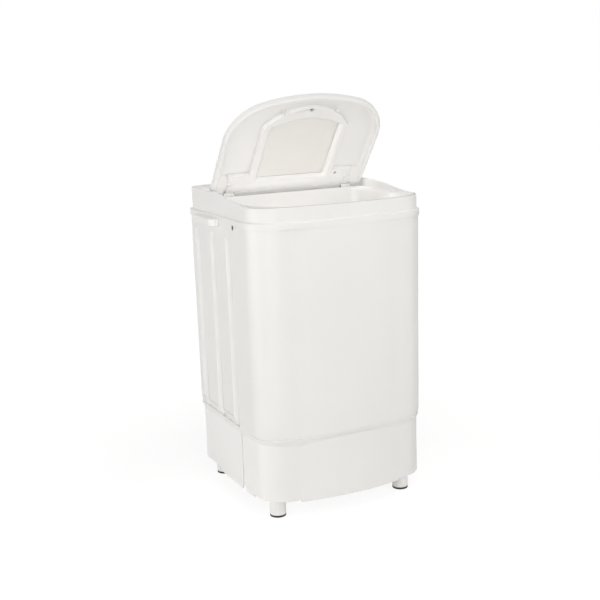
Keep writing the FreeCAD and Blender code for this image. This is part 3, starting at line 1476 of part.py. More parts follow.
def make_capacitor():
    at = ("capacitor_x", "capacitor_y")
    part(turned("capacitor", [
        ("0", "floor_top"),
        ("capacitor_radius", "floor_top"),
        ("capacitor_radius", "capacitor_top - capacitor_bevel"),
        ("capacitor_radius - capacitor_bevel", "capacitor_top"),
        ("terminal_radius", "capacitor_top"),
        ("terminal_radius", "capacitor_top + terminal_height"),
        ("0", "capacitor_top + terminal_height"),
    ], (*at, "0")))
    band = cylinder("clip_band", (*at, "floor_top + clip_lift"), "capacitor_radius + clip_thick",
                    "clip_width")
    edge = "capacitor_x - capacitor_radius - clip_thick"
    near = "capacitor_y - clip_width / 2"
    leg = box("clip_leg", (edge, near, "floor_top"), ("clip_thick", "clip_width", "clip_lift + clip_width"))
    sole = box("clip_sole", (f"{edge} - clip_foot", near, "floor_top"),
               ("clip_foot + clip_thick", "clip_width", "clip_thick"))
    room = cylinder("clip_room", (*at, "0"), "capacitor_radius", "capacitor_top")
    part(cut("capacitor_clip", fuse("clip_solid", band, leg, sole), room))


def make_drain():
    knee_at = ("drain_x", "drain_y", "drain_height")
    down = cylinder("elbow_down", knee_at, "drain_radius", "tub_under - drain_height")
    collar = cylinder("elbow_collar", ("drain_x", "drain_y", "tub_under - collar_thick"),
                      "drain_radius + collar_out", "collar_thick")
    along = cylinder("elbow_along", knee_at, "drain_radius", "base_back - wall - drain_y", "y")
    knee = doc.addObject("Part::Sphere", "elbow_knee")
    bind(knee, {"Radius": "drain_radius"})
    place(knee, knee_at)
    inside = [
        cylinder("elbow_bore_down", knee_at, "drain_bore", "tub_floor_height"),
        cylinder("elbow_bore_along", knee_at, "drain_bore", "body_depth", "y"),
    ]
    part(cut("drain_elbow", fuse("elbow_solid", down, collar, along, knee), *inside))
    start = "base_back - wall"
    spout = cylinder("outlet_tube", ("drain_x", start, "drain_height"), "drain_radius",
                     "wall + outlet_reach", "y")
    flange = cylinder("outlet_flange", ("drain_x", "base_back", "drain_height"), "drain_radius + collar_out",
                      "outlet_flange_thick", "y")
    bore = cylinder("outlet_bore", ("drain_x", f"{start} - cut_over", "drain_height"), "outlet_bore",
                    "wall + outlet_reach + 2 * cut_over", "y")
    part(cut("drain_outlet", fuse("outlet_solid", spout, flange), bore))


def make_cord_gland():
    start = "base_back - wall - gland_tail"
    length = "gland_tail + wall + gland_cap_thick"
    sleeve = cylinder("gland_sleeve", ("gland_x", start, "gland_height"), "gland_radius", length, "y")
    cap = cylinder("gland_cap", ("gland_x", "base_back", "gland_height"), "gland_radius + gland_cap_out",
                   "gland_cap_thick", "y")
    wire = cylinder("gland_wire_hole", ("gland_x", f"{start} - cut_over", "gland_height"), "gland_bore",
                    f"{length} + 2 * cut_over", "y")
    part(cut("cord_gland", fuse("gland_solid", sleeve, cap), wire))


def make_service_panel():
    cover = centred_box("panel_plate", ("panel_x", "base_back + panel_thick / 2"), "panel_bottom",
                        ("panel_width", "panel_thick", "panel_height"))
    holes, screws = [], []
    for n, (x, z) in enumerate(panel_corners()):
        holes.append(cylinder(f"panel_screw_hole_{n}", (x, "base_back - cut_over", z), "small_hole",
                              "panel_thick + 2 * cut_over", "y"))
        screws.append(screw(f"panel_screw_{n}", (x, "base_back + panel_thick", z), "small_screw_head",
                            "small_screw_radius", "panel_thick + wall", "y"))
    part(cut("service_panel", cover, *holes))
    part(group("service_panel_screws", *screws))


make_base()
make_feet()
make_casing()
make_top_cover()
make_cover_screws()
make_hinge_pins()
make_controls()
make_lid_shell()
make_lid_window()
make_hinge_brackets()
make_lid_fittings()
make_tub()
make_bearing()
make_pulsator()
make_drive()
make_belt()
make_motor()
make_motor_mounting()
make_capacitor()
make_drain()
make_cord_gland()
make_service_panel()
doc.recompute()

faults = [item.Label for item in doc.Objects if {"Invalid", "Error"} & set(item.State)]
faults += [item.Label for item in parts if item.Shape.isNull() or not item.Shape.isValid()]
if faults:
    raise RuntimeError(f"these pieces failed: {faults}")

os.makedirs("parts", exist_ok=True)
for item in parts:
    item.Shape.exportStep(f"parts/{item.Label}.step")
    print(f"{item.Label}: {len(item.Shape.Solids)} solid(s), {item.Shape.Volume / 1000:.1f} cm3")
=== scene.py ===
# %% [markdown]
# # Dressing a mini washing machine
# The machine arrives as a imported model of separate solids: plinth, casing, cover, lid, tub and drive.
# Each solid already has its place and size, so this lesson only gives the machine its looks.
# The solids are exact but hard-edged. Real mouldings have soft corners, so the large shells are
# welded copies of the solids with rounded edges, and the small fittings are modelled from primitives.

# %% Load the frame
import json
import math
from collections import namedtuple

import bmesh
import bpy
from mathutils import Matrix, Vector

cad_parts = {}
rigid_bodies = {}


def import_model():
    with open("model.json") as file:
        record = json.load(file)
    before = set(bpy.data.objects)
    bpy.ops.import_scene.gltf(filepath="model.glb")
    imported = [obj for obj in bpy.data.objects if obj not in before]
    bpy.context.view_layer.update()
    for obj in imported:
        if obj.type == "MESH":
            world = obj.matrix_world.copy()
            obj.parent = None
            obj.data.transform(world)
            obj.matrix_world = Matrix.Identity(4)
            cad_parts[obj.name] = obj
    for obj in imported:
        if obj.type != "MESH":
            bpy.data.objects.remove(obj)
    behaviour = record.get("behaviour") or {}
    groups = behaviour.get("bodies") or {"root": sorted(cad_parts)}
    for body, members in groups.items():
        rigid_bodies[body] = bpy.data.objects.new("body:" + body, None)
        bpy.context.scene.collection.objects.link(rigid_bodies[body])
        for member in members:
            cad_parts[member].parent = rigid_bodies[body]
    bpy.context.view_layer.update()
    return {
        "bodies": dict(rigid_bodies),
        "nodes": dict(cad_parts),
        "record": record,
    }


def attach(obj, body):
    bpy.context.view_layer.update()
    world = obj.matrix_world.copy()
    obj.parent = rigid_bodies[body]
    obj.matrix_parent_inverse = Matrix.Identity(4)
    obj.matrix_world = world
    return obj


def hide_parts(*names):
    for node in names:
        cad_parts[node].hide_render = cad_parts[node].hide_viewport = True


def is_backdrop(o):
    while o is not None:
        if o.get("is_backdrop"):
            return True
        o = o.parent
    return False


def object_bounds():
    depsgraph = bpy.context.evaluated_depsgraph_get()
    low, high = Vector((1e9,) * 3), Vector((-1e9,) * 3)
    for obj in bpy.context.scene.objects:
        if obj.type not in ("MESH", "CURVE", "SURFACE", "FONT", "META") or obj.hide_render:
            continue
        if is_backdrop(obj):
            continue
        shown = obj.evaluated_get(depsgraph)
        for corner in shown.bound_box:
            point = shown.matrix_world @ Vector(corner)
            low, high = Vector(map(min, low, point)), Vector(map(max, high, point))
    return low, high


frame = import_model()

nodes = frame["nodes"]

# %% [markdown]
# ## The camera
# A product picture is taken from a little above, turned to show the front and one side.
# The camera could be aimed by eye, but a pinhole camera that was worked out from the machine's known
# corners puts every edge where the picture has it. The picture is square, 600 by 600 pixels.

# %% Camera
PICTURE = 600
TURN, RISE, ROLL = math.radians(-26.248), math.radians(11.286), math.radians(-1.8414)
AIM = Vector((0, 0.01175, 0.40443))
DISTANCE = 2.11113
FOCAL_PIXELS = 1074.05
CENTRE_PIXEL = (305.02, 284.95)
SENSOR = 36


def added(name, data):
    """A new object in the scene."""
    piece = bpy.data.objects.new(name, data)
    bpy.context.scene.collection.objects.link(piece)
    return piece


back = Vector((math.sin(TURN) * math.cos(RISE), -math.cos(TURN) * math.cos(RISE), math.sin(RISE)))
level = Vector((math.cos(TURN), math.sin(TURN), 0))
upright = back.cross(level)
right = level * math.cos(ROLL) + upright * math.sin(ROLL)
up = upright * math.cos(ROLL) - level * math.sin(ROLL)
axes = Matrix((right, up, back)).transposed().to_4x4()

lens = bpy.data.cameras.new("camera")
lens.sensor_fit = "HORIZONTAL"
lens.sensor_width = SENSOR
lens.lens = FOCAL_PIXELS / PICTURE * SENSOR
lens.shift_x = (PICTURE / 2 - CENTRE_PIXEL[0]) / PICTURE
lens.shift_y = (CENTRE_PIXEL[1] - PICTURE / 2) / PICTURE
camera = added("camera", lens)
camera.matrix_world = Matrix.Translation(AIM + back * DISTANCE) @ axes
bpy.context.scene.camera = camera
bpy.context.scene.view_settings.view_transform = "Standard"
print(f"lens {lens.lens:.1f} mm at {camera.location.length:.2f} m")

# %% [markdown]
# ## The tent
# White goods are photographed inside a pale tent. The tent is the world's colour, kept dim so that the
# lamps can model the form. Rays that reach the camera straight, by a reflection or through the pane see
# plain white instead. So the background stays clean without lighting the machine.

# %% World
TENT_LIGHT, TENT_COLOUR = 0.11, (1, 0.995, 0.985, 1)
WHITE = (1, 1, 1, 1)


def fill(node, **values):
    """Set a node's inputs. Their names have _ for a space."""
    for socket, value in values.items():
        node.inputs[socket.replace("_", " ")].default_value = value


def new_node(tree, kind, **values):
    """A new node with its inputs set."""
    node = tree.nodes.new(f"ShaderNode{kind}")
    fill(node, **values)
    return node


def wire(tree, *wires):
    """Join an output of one node to an input of another, wire by wire."""
    for source, leaving, target, entering in wires:
        tree.links.new(source.outputs[leaving], target.inputs[entering])


def show(tree, unseen, seen, output):
    """Use one shader for the rays that carry light and another for the rays that are seen."""
    path = new_node(tree, "LightPath")
    mask = path.outputs["Is Camera Ray"]
    for ray in ("Is Glossy Ray", "Is Transmission Ray"):
        either = new_node(tree, "Math")
        either.operation = "MAXIMUM"
        tree.links.new(mask, either.inputs[0])
        wire(tree, (path, ray, either, 1))
        mask = either.outputs[0]
    mix = new_node(tree, "MixShader")
    tree.links.new(mask, mix.inputs["Fac"])
    wire(tree, (unseen, 0, mix, 1), (seen, 0, mix, 2), (mix, 0, output, "Surface"))


world = bpy.data.worlds.new("light_tent")
bpy.context.scene.world = world
world.use_nodes = True
tree = world.node_tree
tree.nodes.clear()
tent = new_node(tree, "Background", Color=TENT_COLOUR, Strength=TENT_LIGHT)
white = new_node(tree, "Background", Color=WHITE, Strength=1)
show(tree, tent, white, new_node(tree, "OutputWorld"))
print(f"tent light {TENT_LIGHT}")

# %% [markdown]
# ## The large lamps
# Soft boxes in front, at both sides and above model the white form, and a long low one behind keeps the
# back from going grey. A soft box is an area lamp: the larger it is, the softer its shadows. The lamps
# could show at the edge of a picture, so the camera doesn't see them.

# %% Large lamps
LAMP_COLOUR = (1, 0.99, 0.98)


def soft_box(name, place, size, power, aim=AIM, tilt=None, height=None, spread=180):
    """A lamp that faces its aim or is tilted from straight down. It is square unless it has a height."""
    lamp = bpy.data.lights.new(name, "AREA")
    lamp.size = size
    lamp.energy = power
    lamp.color = LAMP_COLOUR
    lamp.spread = math.radians(spread)
    if height:
        lamp.shape = "RECTANGLE"
        lamp.size_y = height
    holder = added(name, lamp)
    holder.location = place
    if tilt is None:
        holder.rotation_euler = (Vector(aim) - Vector(place)).to_track_quat("-Z", "Y").to_euler()
    else:
        holder.rotation_euler = (math.radians(tilt), 0, 0)
    holder.visible_camera = False
    return holder


soft_box("front_lamp", (-0.97, -1.97, 2.13), 1.6, 16.5)
soft_box("low_lamp", (-1.4, -2.41, 0.55), 1.6, 24)
soft_box("left_lamp", (-2.6, 0.35, 0.5), 1.6, 30)
soft_box("right_lamp", (1.94, -1.93, 0.99), 1.6, 17.5)
soft_box("top_lamp", (0.15, -0.9, 2.7), 1.4, 18)
back_lamp = soft_box("back_lamp", (0.5, 2.6, 0.35), 1.6, 16, height=0.5)
print(len(bpy.data.lights), "large lamps")

# %% [markdown]
# ## The small lamps
# Some places come out too dark: the underside of the open lid, the plinth's side, the legs, the tub, the
# hinge, the corners of the deck and the console. Brighter large lamps would burn out the rest, so each of
# these places gets a small weak lamp. A later step tells most of them which pieces they light.

# %% Small lamps
END_LAMP, END_WALL = (0.118, -0.031, 0.615), (0.169, 0.072, 0.591)
DECK_LAMPS = {"left": -0.14, "right": 0.13}

lid_lamp = soft_box("lid_lamp", (0.9, -1.9, 0.8), 0.9, 0.2)
soft_box("tub_lamp", (0, -0.05, 0.4), 0.16, 0.23, tilt=180)
plinth_lamp = soft_box("plinth_lamp", (-1.6, 0.65, 0.25), 0.6, 2.2)
leg_lamp = soft_box("leg_lamp", (0.25, -1.3, 0.12), 0.4, 2.0)
sill_lamp = soft_box("sill_lamp", (0, -0.03, 0.65), 0.14, 0.03, tilt=35)
trough_lamp = soft_box("trough_lamp", (0, 0.086, 0.598), 0.32, 0.03, tilt=15, height=0.004)
step_lamp = soft_box("step_lamp", (-1.05, -0.645, 1.52), 0.3, 4)
gap_lamp = soft_box("gap_lamp", (0, 0.066, 0.5868), 0.32, 0.0022, tilt=70, height=0.003)
deck_lamps = [soft_box(f"deck_lamp_{hand}", (x, 0.05, 0.64), 0.05, 0.02, tilt=0)
              for hand, x in DECK_LAMPS.items()]
front_deck_lamp = soft_box("front_deck_lamp", (0.115, -0.09, 0.66), 0.05, 0.008, tilt=0, spread=60)
console_lamp = soft_box("console_lamp", (0, 0.16, 0.95), 0.4, 0.3, tilt=0)
end_lamp = soft_box("end_lamp", END_LAMP, 0.02, 0.0012, aim=END_WALL, spread=30)
print(len(bpy.data.lights), "lamps in all")

# %% [markdown]
# ## The floor
# The machine stands on a plain pale floor that runs out into the white background. For the light it is an
# ordinary pale surface. For the camera it glows, a little less near the machine, and a weak grey surface
# is added to the glow. That grey part is what takes the machine's shadow, so the shadow stays soft.

# %% Floor
FLOOR_SIZE, FLOOR_COLOUR = 30, (0.95, 0.945, 0.935, 1)
FLOOR_GLOW, FLOOR_SHADE = 0.86, 0.24
GLOW_NEAR, GLOW_FAR = 0.4, 1.6

bpy.ops.mesh.primitive_plane_add(size=FLOOR_SIZE, location=(0, 0, 0))
floor = bpy.context.active_object
floor.name = "floor"
floor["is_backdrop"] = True
floor_paint = bpy.data.materials.new("floor_paint")
floor_paint.use_nodes = True
tree = floor_paint.node_tree
tree.nodes.clear()
plain = new_node(tree, "BsdfDiffuse", Color=FLOOR_COLOUR)
spot = new_node(tree, "TexCoord")
reach = new_node(tree, "VectorMath")
reach.operation = "LENGTH"
fade = new_node(tree, "MapRange", From_Min=GLOW_NEAR, From_Max=GLOW_FAR, To_Min=FLOOR_GLOW, To_Max=1)
glow = new_node(tree, "Emission", Color=WHITE)
shade = new_node(tree, "BsdfDiffuse", Color=(FLOOR_SHADE, FLOOR_SHADE, FLOOR_SHADE, 1))
pale = new_node(tree, "AddShader")
wire(tree, (spot, "Object", reach, 0), (reach, "Value", fade, "Value"), (fade, "Result", glow, "Strength"),
     (glow, 0, pale, 0), (shade, 0, pale, 1))
show(tree, plain, pale, new_node(tree, "OutputMaterial"))
floor.data.materials.append(floor_paint)
print("pale floor that keeps a faint shadow")

# %% [markdown]
# ## Finishes
# Injection-moulded plastic is never one flat colour. The melt clouds a little, and the polished mould
# leaves a fine skin that breaks up the gloss. Both effects are wanted on many pieces, so they live in
# one node group with its own values in every material. Rubber and metal use it with coarser values.

# %% Node group
FLOAT, COLOUR, VECTOR = "NodeSocketFloat", "NodeSocketColor", "NodeSocketVector"
CLOUD_LOW, CLOUD_HIGH = 0.35, 0.65


def cloud_and_grain(name):
    """A group in which slow clouds mix two colours, and fine grain sets the gloss and the height."""
    tree = bpy.data.node_groups.new(name, "ShaderNodeTree")
    for socket, kind, value in (
            ("Vector", VECTOR, None), ("Colour", COLOUR, (0.8, 0.8, 0.8, 1)),
            ("Cloud colour", COLOUR, (0.75, 0.75, 0.75, 1)), ("Cloud scale", FLOAT, 5.0),
            ("Grain scale", FLOAT, 900.0), ("Rough low", FLOAT, 0.3), ("Rough high", FLOAT, 0.4)):
        made = tree.interface.new_socket(socket, in_out="INPUT", socket_type=kind)
        if value is not None:
            made.default_value = value
    for socket, kind in (("Colour", COLOUR), ("Roughness", FLOAT), ("Height", FLOAT)):
        tree.interface.new_socket(socket, in_out="OUTPUT", socket_type=kind)
    start = tree.nodes.new("NodeGroupInput")
    end = tree.nodes.new("NodeGroupOutput")
    cloud = new_node(tree, "TexNoise", Detail=3)
    spread = new_node(tree, "MapRange", From_Min=CLOUD_LOW, From_Max=CLOUD_HIGH)
    paint = new_node(tree, "Mix")
    paint.data_type = "RGBA"
    grain = new_node(tree, "TexNoise", Detail=4)
    gloss = new_node(tree, "MapRange")
    wire(tree, (start, "Vector", cloud, "Vector"), (start, "Cloud scale", cloud, "Scale"),
         (cloud, "Fac", spread, "Value"), (spread, "Result", paint, "Factor"),
         (start, "Colour", paint, "A"), (start, "Cloud colour", paint, "B"),
         (start, "Vector", grain, "Vector"), (start, "Grain scale", grain, "Scale"),
         (grain, "Fac", gloss, "Value"), (start, "Rough low", gloss, "To Min"),
         (start, "Rough high", gloss, "To Max"), (paint, "Result", end, "Colour"),
         (gloss, "Result", end, "Roughness"), (grain, "Fac", end, "Height"))
    return tree


SKIN = cloud_and_grain("moulded_skin")
print("group", SKIN.name)

# %% [markdown]
# ## Materials
# A finish is a Principled shader with the skin group in front of it. The shells are satin white, the tub is
# a smoother white, and the pane is frosted and lets a little light through. What hides inside gets its own
# finish too, because the tub and the drive show when the machine is taken apart.

# %% Finish
RELIEF = 0.0004


def finish(name, colour, cloud, rough, cloud_scale=5, grain_scale=900, bump=0.04,
           stretch=(1, 1, 1), **fixed):
    """A Principled material whose colour, gloss and height come from the skin group."""
    material = bpy.data.materials.new(name)
    material.use_nodes = True
    tree = material.node_tree
    shader = tree.nodes["Principled BSDF"]
    place = new_node(tree, "TexCoord")
    turn = new_node(tree, "Mapping", Scale=stretch)
    skin = new_node(tree, "Group")
    skin.node_tree = SKIN
    fill(skin, Colour=(*colour, 1), Cloud_colour=(*cloud, 1), Cloud_scale=cloud_scale,
         Grain_scale=grain_scale, Rough_low=rough[0], Rough_high=rough[1])
    relief = new_node(tree, "Bump", Strength=bump, Distance=RELIEF)
    wire(tree, (place, "Object", turn, "Vector"), (turn, "Vector", skin, "Vector"),
         (skin, "Colour", shader, "Base Color"), (skin, "Roughness", shader, "Roughness"),
         (skin, "Height", relief, "Height"), (relief, "Normal", shader, "Normal"))
    fill(shader, **fixed)
    return material


print("relief of", RELIEF, "m")

# %% Materials
finishes = {
    "white_shell": finish("satin_white", (0.835, 0.829, 0.818), (0.82, 0.812, 0.799), (0.4, 0.5)),
    "white_inner": finish("smooth_white", (0.92, 0.905, 0.89), (0.905, 0.89, 0.87), (0.34, 0.44)),
    "window": finish("frosted_pane", (0.86, 0.848, 0.815), (0.85, 0.836, 0.8), (0.42, 0.5),
                     bump=0.1, Transmission_Weight=0.1, IOR=1.49),
    "pad_rubber": finish("black_rubber", (0.022, 0.022, 0.023), (0.035, 0.034, 0.033), (0.6, 0.78),
                         40, 1500, 0.2),
    "grey_rubber": finish("dark_rubber", (0.09, 0.09, 0.09), (0.12, 0.118, 0.115), (0.6, 0.75),
                          40, 1500, 0.2),
    "steel": finish("zinc_plate", (0.66, 0.66, 0.64), (0.58, 0.59, 0.6), (0.22, 0.4),
                    60, 700, 0.08, Metallic=1.0),
    "dark_steel": finish("dark_plate", (0.1, 0.1, 0.1), (0.15, 0.145, 0.14), (0.35, 0.5),
                         60, 700, 0.08, Metallic=1.0),
    "casting": finish("cast_alloy", (0.56, 0.56, 0.57), (0.47, 0.47, 0.48), (0.45, 0.62),
                      90, 1200, 0.35, Metallic=1.0),
    "laminations": finish("stacked_sheets", (0.2, 0.21, 0.23), (0.3, 0.3, 0.31), (0.4, 0.6),
                          30, 60, 0.5, (1, 1, 40), Metallic=1.0),
    "bronze": finish("sintered_bronze", (0.6, 0.42, 0.2), (0.5, 0.36, 0.18), (0.4, 0.55),
                     120, 1500, 0.2, Metallic=1.0),
    "dark_plastic": finish("dark_moulding", (0.06, 0.06, 0.064), (0.08, 0.08, 0.083), (0.42, 0.55),
                           12, 1100, 0.1),
    "grey_plastic": finish("grey_moulding", (0.5, 0.51, 0.52), (0.46, 0.47, 0.48), (0.4, 0.5),
                           12, 1100, 0.08),
    "fascia": finish("grey_plate", (0.76, 0.765, 0.77), (0.73, 0.735, 0.74), (0.32, 0.42),
                     8, 1100, 0.05),
}
SLOT_OF = {row["node"]: row["material_slot"] for row in frame["record"]["subparts"]}
for name, node in nodes.items():
    node.data.materials.clear()
    node.data.materials.append(finishes[SLOT_OF[name]])
nodes["lid_buffers"].data.materials[0] = finishes["white_inner"]
print(f"{len(finishes)} finishes on {len(nodes)} solids")

# %% [markdown]
# ## Working habits
# Every piece below goes through the same few steps: select one object, enter edit mode, choose corners,
# edges or faces by where they lie and which way they look, change them, and leave again. These helpers
# keep the later cells short. A rule reads an edge by its middle, its direction, its side and its length.

# %% Selecting
WELD = 1e-5
FLAT = math.radians(0.05)


def only(piece):
    """Leave one object selected and active."""
    bpy.ops.object.select_all(action="DESELECT")
    piece.select_set(True)
    bpy.context.view_layer.objects.active = piece


def edit(piece):
    """Enter edit mode on one object."""
    only(piece)
    bpy.ops.object.mode_set(mode="EDIT")


def leave():
    """Go back to object mode."""
    bpy.ops.object.mode_set(mode="OBJECT")


def choose(piece, kind, rule):
    """Enter edit mode with only those corners, edges or faces selected that the rule takes."""
    edit(piece)
    bpy.ops.mesh.select_mode(type=kind)
    bpy.ops.mesh.select_all(action="DESELECT")
    shape = bmesh.from_edit_mesh(piece.data)
    elements = {"VERT": shape.verts, "EDGE": shape.edges, "FACE": shape.faces}[kind]
    chosen = [element for element in elements if rule(element)]
    for element in chosen:
        element.select_set(True)
    bmesh.update_edit_mesh(piece.data)
    return len(chosen)


def welded(node, name):
    """A copy of a solid with its loose triangles joined and its flat faces whole."""
    piece = added(name, nodes[node].data.copy())
    edit(piece)
    bpy.ops.mesh.customdata_custom_splitnormals_clear()
    bpy.ops.mesh.select_all(action="SELECT")
    bpy.ops.mesh.remove_doubles(threshold=WELD)
    bpy.ops.mesh.dissolve_limited(angle_limit=FLAT)
    leave()
    return piece


print("helpers that select")

# %% Rounding and moving
SHARP, SEGMENTS = math.radians(28), 4
Edge = namedtuple("Edge", "place along side length")


def soften(piece, width, rule):
    """Round the sharp edges that the rule chooses."""
    def wanted(line):
        if len(line.link_faces) != 2 or line.calc_face_angle() < SHARP:
            return False
        first, second = line.verts[0].co, line.verts[1].co
        side = line.link_faces[0].normal + line.link_faces[1].normal
        run = second - first
        return rule(Edge((first + second) / 2, run.normalized(), side.normalized(), run.length))

    chosen = choose(piece, "EDGE", wanted)
    if chosen:
        bpy.ops.mesh.bevel(offset=width, segments=SEGMENTS, affect="EDGES", clamp_overlap=False)
    leave()
    print(f"{piece.name}: {chosen} edges rounded by {width:.4f} m")


def nudge(piece, shift, rule):
    """Move the corners that the rule chooses by their place."""
    chosen = choose(piece, "VERT", lambda corner: rule(corner.co))
    bpy.ops.transform.translate(value=shift)
    leave()
    print(f"{piece.name}: {chosen} corners moved")


print("edges round in", SEGMENTS, "steps")

# %% Dressing, and where things lie
HALF_WIDTH, HALF_DEPTH = 0.18, 0.178
SLACK, MILLIMETRE = 0.0005, 0.001
LOOKS_OUT, OUTER_SKIN, LEVEL, LOOKS_UP = 0.15, 0.5, 0.1, 0.3


def dress(piece, body, slot, *solids):
    """Shade a finished piece, give it its finish and let it ride on its body."""
    only(piece)
    bpy.ops.object.shade_smooth_by_angle(angle=SHARP)
    even = piece.modifiers.new("even_normals", "WEIGHTED_NORMAL")
    even.weight = 100
    even.keep_sharp = True
    bpy.ops.object.modifier_apply(modifier=even.name)
    piece.data.materials.clear()
    piece.data.materials.append(finishes[slot])
    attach(piece, body)
    if solids:
        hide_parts(*solids)
    print(f"{piece.name}: {len(piece.data.polygons)} faces")


def near(value, level, slack=SLACK):
    """Whether a measure is at a level."""
    return abs(value - level) < slack


def outward(place, side):
    """How far a side looks away from the machine's upright axis."""
    return side.x * place.x / HALF_WIDTH + side.y * place.y / HALF_DEPTH


def looks_out(edge):
    """Whether an edge is on the outside."""
    return outward(edge.place, edge.side) > LOOKS_OUT


print("half the machine is", HALF_WIDTH, "by", HALF_DEPTH, "m")

# %% [markdown]
# ## The casing
# The casing, the plinth and the cover are the white body. On the real machine every outside edge has a
# radius, because a mould wears there and a sharp corner would crack. Three small shifts come first: the
# rear walls of the side flutes are slanted, the front is drawn in at its foot, and a shallow crease marks
# where the bowed front begins. Moving corners is simpler than modelling new faces, and only the foot needs
# a cut round the casing first.

# %% Casing flutes and foot
FLUTES, FLUTE_FLOOR, HALF_FLOOR, SLANT = (-0.031, 0.045, 0.121), 0.1646, 0.009, 0.007
FLOOR_SLACK = 0.0012
CASING_FOOT, FOOT_TAPER, FOOT_DRAW = 0.158, 0.166, 0.988
FRONT, FRONT_CORNERS, CORNER_SIDE = -0.13, -0.08, 0.168


def on_front_foot(corner):
    """Whether a corner is at the foot of the casing's front skin or its front corners."""
    place = corner.co
    in_front = place.y < FRONT or (place.y < FRONT_CORNERS and abs(place.x) > CORNER_SIDE)
    return near(place.z, CASING_FOOT) and in_front and any(
        outward(place, face.normal) > OUTER_SKIN for face in corner.link_faces)


casing = welded("outer_casing", "casing_moulding")
nudge(casing, (0, -SLANT, 0), lambda place: (
    near(abs(place.x), FLUTE_FLOOR, FLOOR_SLACK)
    and any(near(place.y - flute, HALF_FLOOR, MILLIMETRE) for flute in FLUTES)))
edit(casing)
bpy.ops.mesh.select_all(action="SELECT")
bpy.ops.mesh.bisect(plane_co=(0, 0, FOOT_TAPER), plane_no=(0, 0, 1))
leave()
count = choose(casing, "VERT", on_front_foot)
bpy.ops.transform.resize(value=(FOOT_DRAW, FOOT_DRAW, 1), center_override=(0, 0, CASING_FOOT))
leave()
print(f"{count} foot corners drawn in")

# %% [markdown]
# ## Rounding the casing
# The edges are rounded by rule rather than by hand. The flutes, which run upright, get the widest rounding,
# so they read as soft bands of light and shade rather than as drawn lines.

# %% Casing edges
PANEL_EDGE, PANEL_FRONT, PANEL_DIP, PANEL_SLACK = 0.105, -0.158, 0.0014, 0.0015
CASING_SHOULDER = 0.535
UPRIGHT_ROUND, LEVEL_ROUND, UPRIGHT = 0.0028, 0.0012, 0.8


def on_panel_edge(place):
    """Whether a corner is where the bowed front begins."""
    return near(abs(place.x), PANEL_EDGE, PANEL_SLACK) and place.y < PANEL_FRONT


nudge(casing, (0, PANEL_DIP, 0), on_panel_edge)
soften(casing, UPRIGHT_ROUND, lambda edge: (
    looks_out(edge) and abs(edge.along.z) > UPRIGHT and CASING_FOOT < edge.place.z < CASING_SHOULDER))
soften(casing, LEVEL_ROUND, lambda edge: (
    looks_out(edge) and abs(edge.along.z) < UPRIGHT
    and CASING_FOOT + SLACK < edge.place.z < CASING_SHOULDER))
dress(casing, "cabinet", "white_shell", "outer_casing")

# %% [markdown]
# ## The plinth
# The plinth carries the casing on a narrow flange. It has the same crease in its front, so the lines of
# both mouldings meet, and its flange gets a wider rounding than the edges below it.

# %% Plinth
FLANGE_HIGH = 0.004
FLANGE_FOOT = CASING_FOOT - FLANGE_HIGH
FLANGE_ROUND, PLINTH_ROUND = 0.0024, 0.0018

plinth = welded("base", "plinth_moulding")
nudge(plinth, (0, PANEL_DIP, 0), on_panel_edge)
soften(plinth, FLANGE_ROUND, lambda edge: looks_out(edge) and near(edge.place.z, FLANGE_FOOT))
soften(plinth, PLINTH_ROUND, lambda edge: (
    looks_out(edge) and edge.place.z < FLANGE_FOOT - MILLIMETRE))
dress(plinth, "cabinet", "white_shell", "base")

# %% [markdown]
# ## The slope under the casing
# Where the casing stands on the plinth, the real moulding runs in softly. The plinth's flange alone would
# throw a hard dark line. A band of the flange's own outer faces is kept from a copy, its lower edge is
# moved down and drawn in, and the sheet is given a thickness, so that it covers the step as a slope.

# %% Seam slope
SLOPE_SHEET, LEVEL_SLACK = 0.0012, 0.0019
SLOPE_EDGES = ((CASING_FOOT, -0.001, 1.0008), (FLANGE_FOOT, -0.0085, 0.979))
WALL_X, WALL_Y, WALL_CORNER = 0.165, 0.14, 0.29


def near_wall(place):
    """Whether a place is close to the machine's outer walls or their rounded corners."""
    return abs(place.x) > WALL_X or abs(place.y) > WALL_Y or abs(place.x) + abs(place.y) > WALL_CORNER


def keep_faces(piece, rule):
    """Delete all faces but those that the rule chooses by their middle and normal."""
    choose(piece, "FACE", lambda face: not rule(face.calc_center_median(), face.normal))
    bpy.ops.mesh.delete(type="FACE")
    leave()


def thicken(piece, thickness, offset):
    """Give a sheet a thickness, inwards with offset -1 and outwards with 1."""
    only(piece)
    sheet = piece.modifiers.new("thickness", "SOLIDIFY")
    sheet.thickness = thickness
    sheet.offset = offset
    bpy.ops.object.modifier_apply(modifier=sheet.name)


slope = welded("base", "seam_slope")
keep_faces(slope, lambda middle, normal: (
    FLANGE_FOOT < middle.z < CASING_FOOT and outward(middle, normal) > OUTER_SKIN and near_wall(middle)))
for height, shift, draw in SLOPE_EDGES:
    choose(slope, "VERT", lambda corner: near(corner.co.z, height, LEVEL_SLACK))
    bpy.ops.transform.resize(value=(draw, draw, 1), center_override=(0, 0, height))
    bpy.ops.transform.translate(value=(0, 0, shift))
    leave()
thicken(slope, SLOPE_SHEET, -1)
dress(slope, "cabinet", "white_shell")

# %% [markdown]
# ## The cover
# The cover closes the top: a lip over the casing, a raised rim, and a deck inside the rim with the round
# opening of the tub. In the picture the rim is thicker than a plain wall, so its inner faces are moved
# inwards first. A wider solid would do too, but here it is only a matter of looks.

# %% Cover rim
DECK, RIM_GAIN, LOOKS_IN = 0.581, 0.003, -0.3


def inside_rim(face):
    """Whether a face is on the inner side of the raised rim."""
    middle = face.calc_center_median()
    return (abs(face.normal.z) < LEVEL and middle.z > DECK and near_wall(middle)
            and outward(middle, face.normal) < LOOKS_IN)


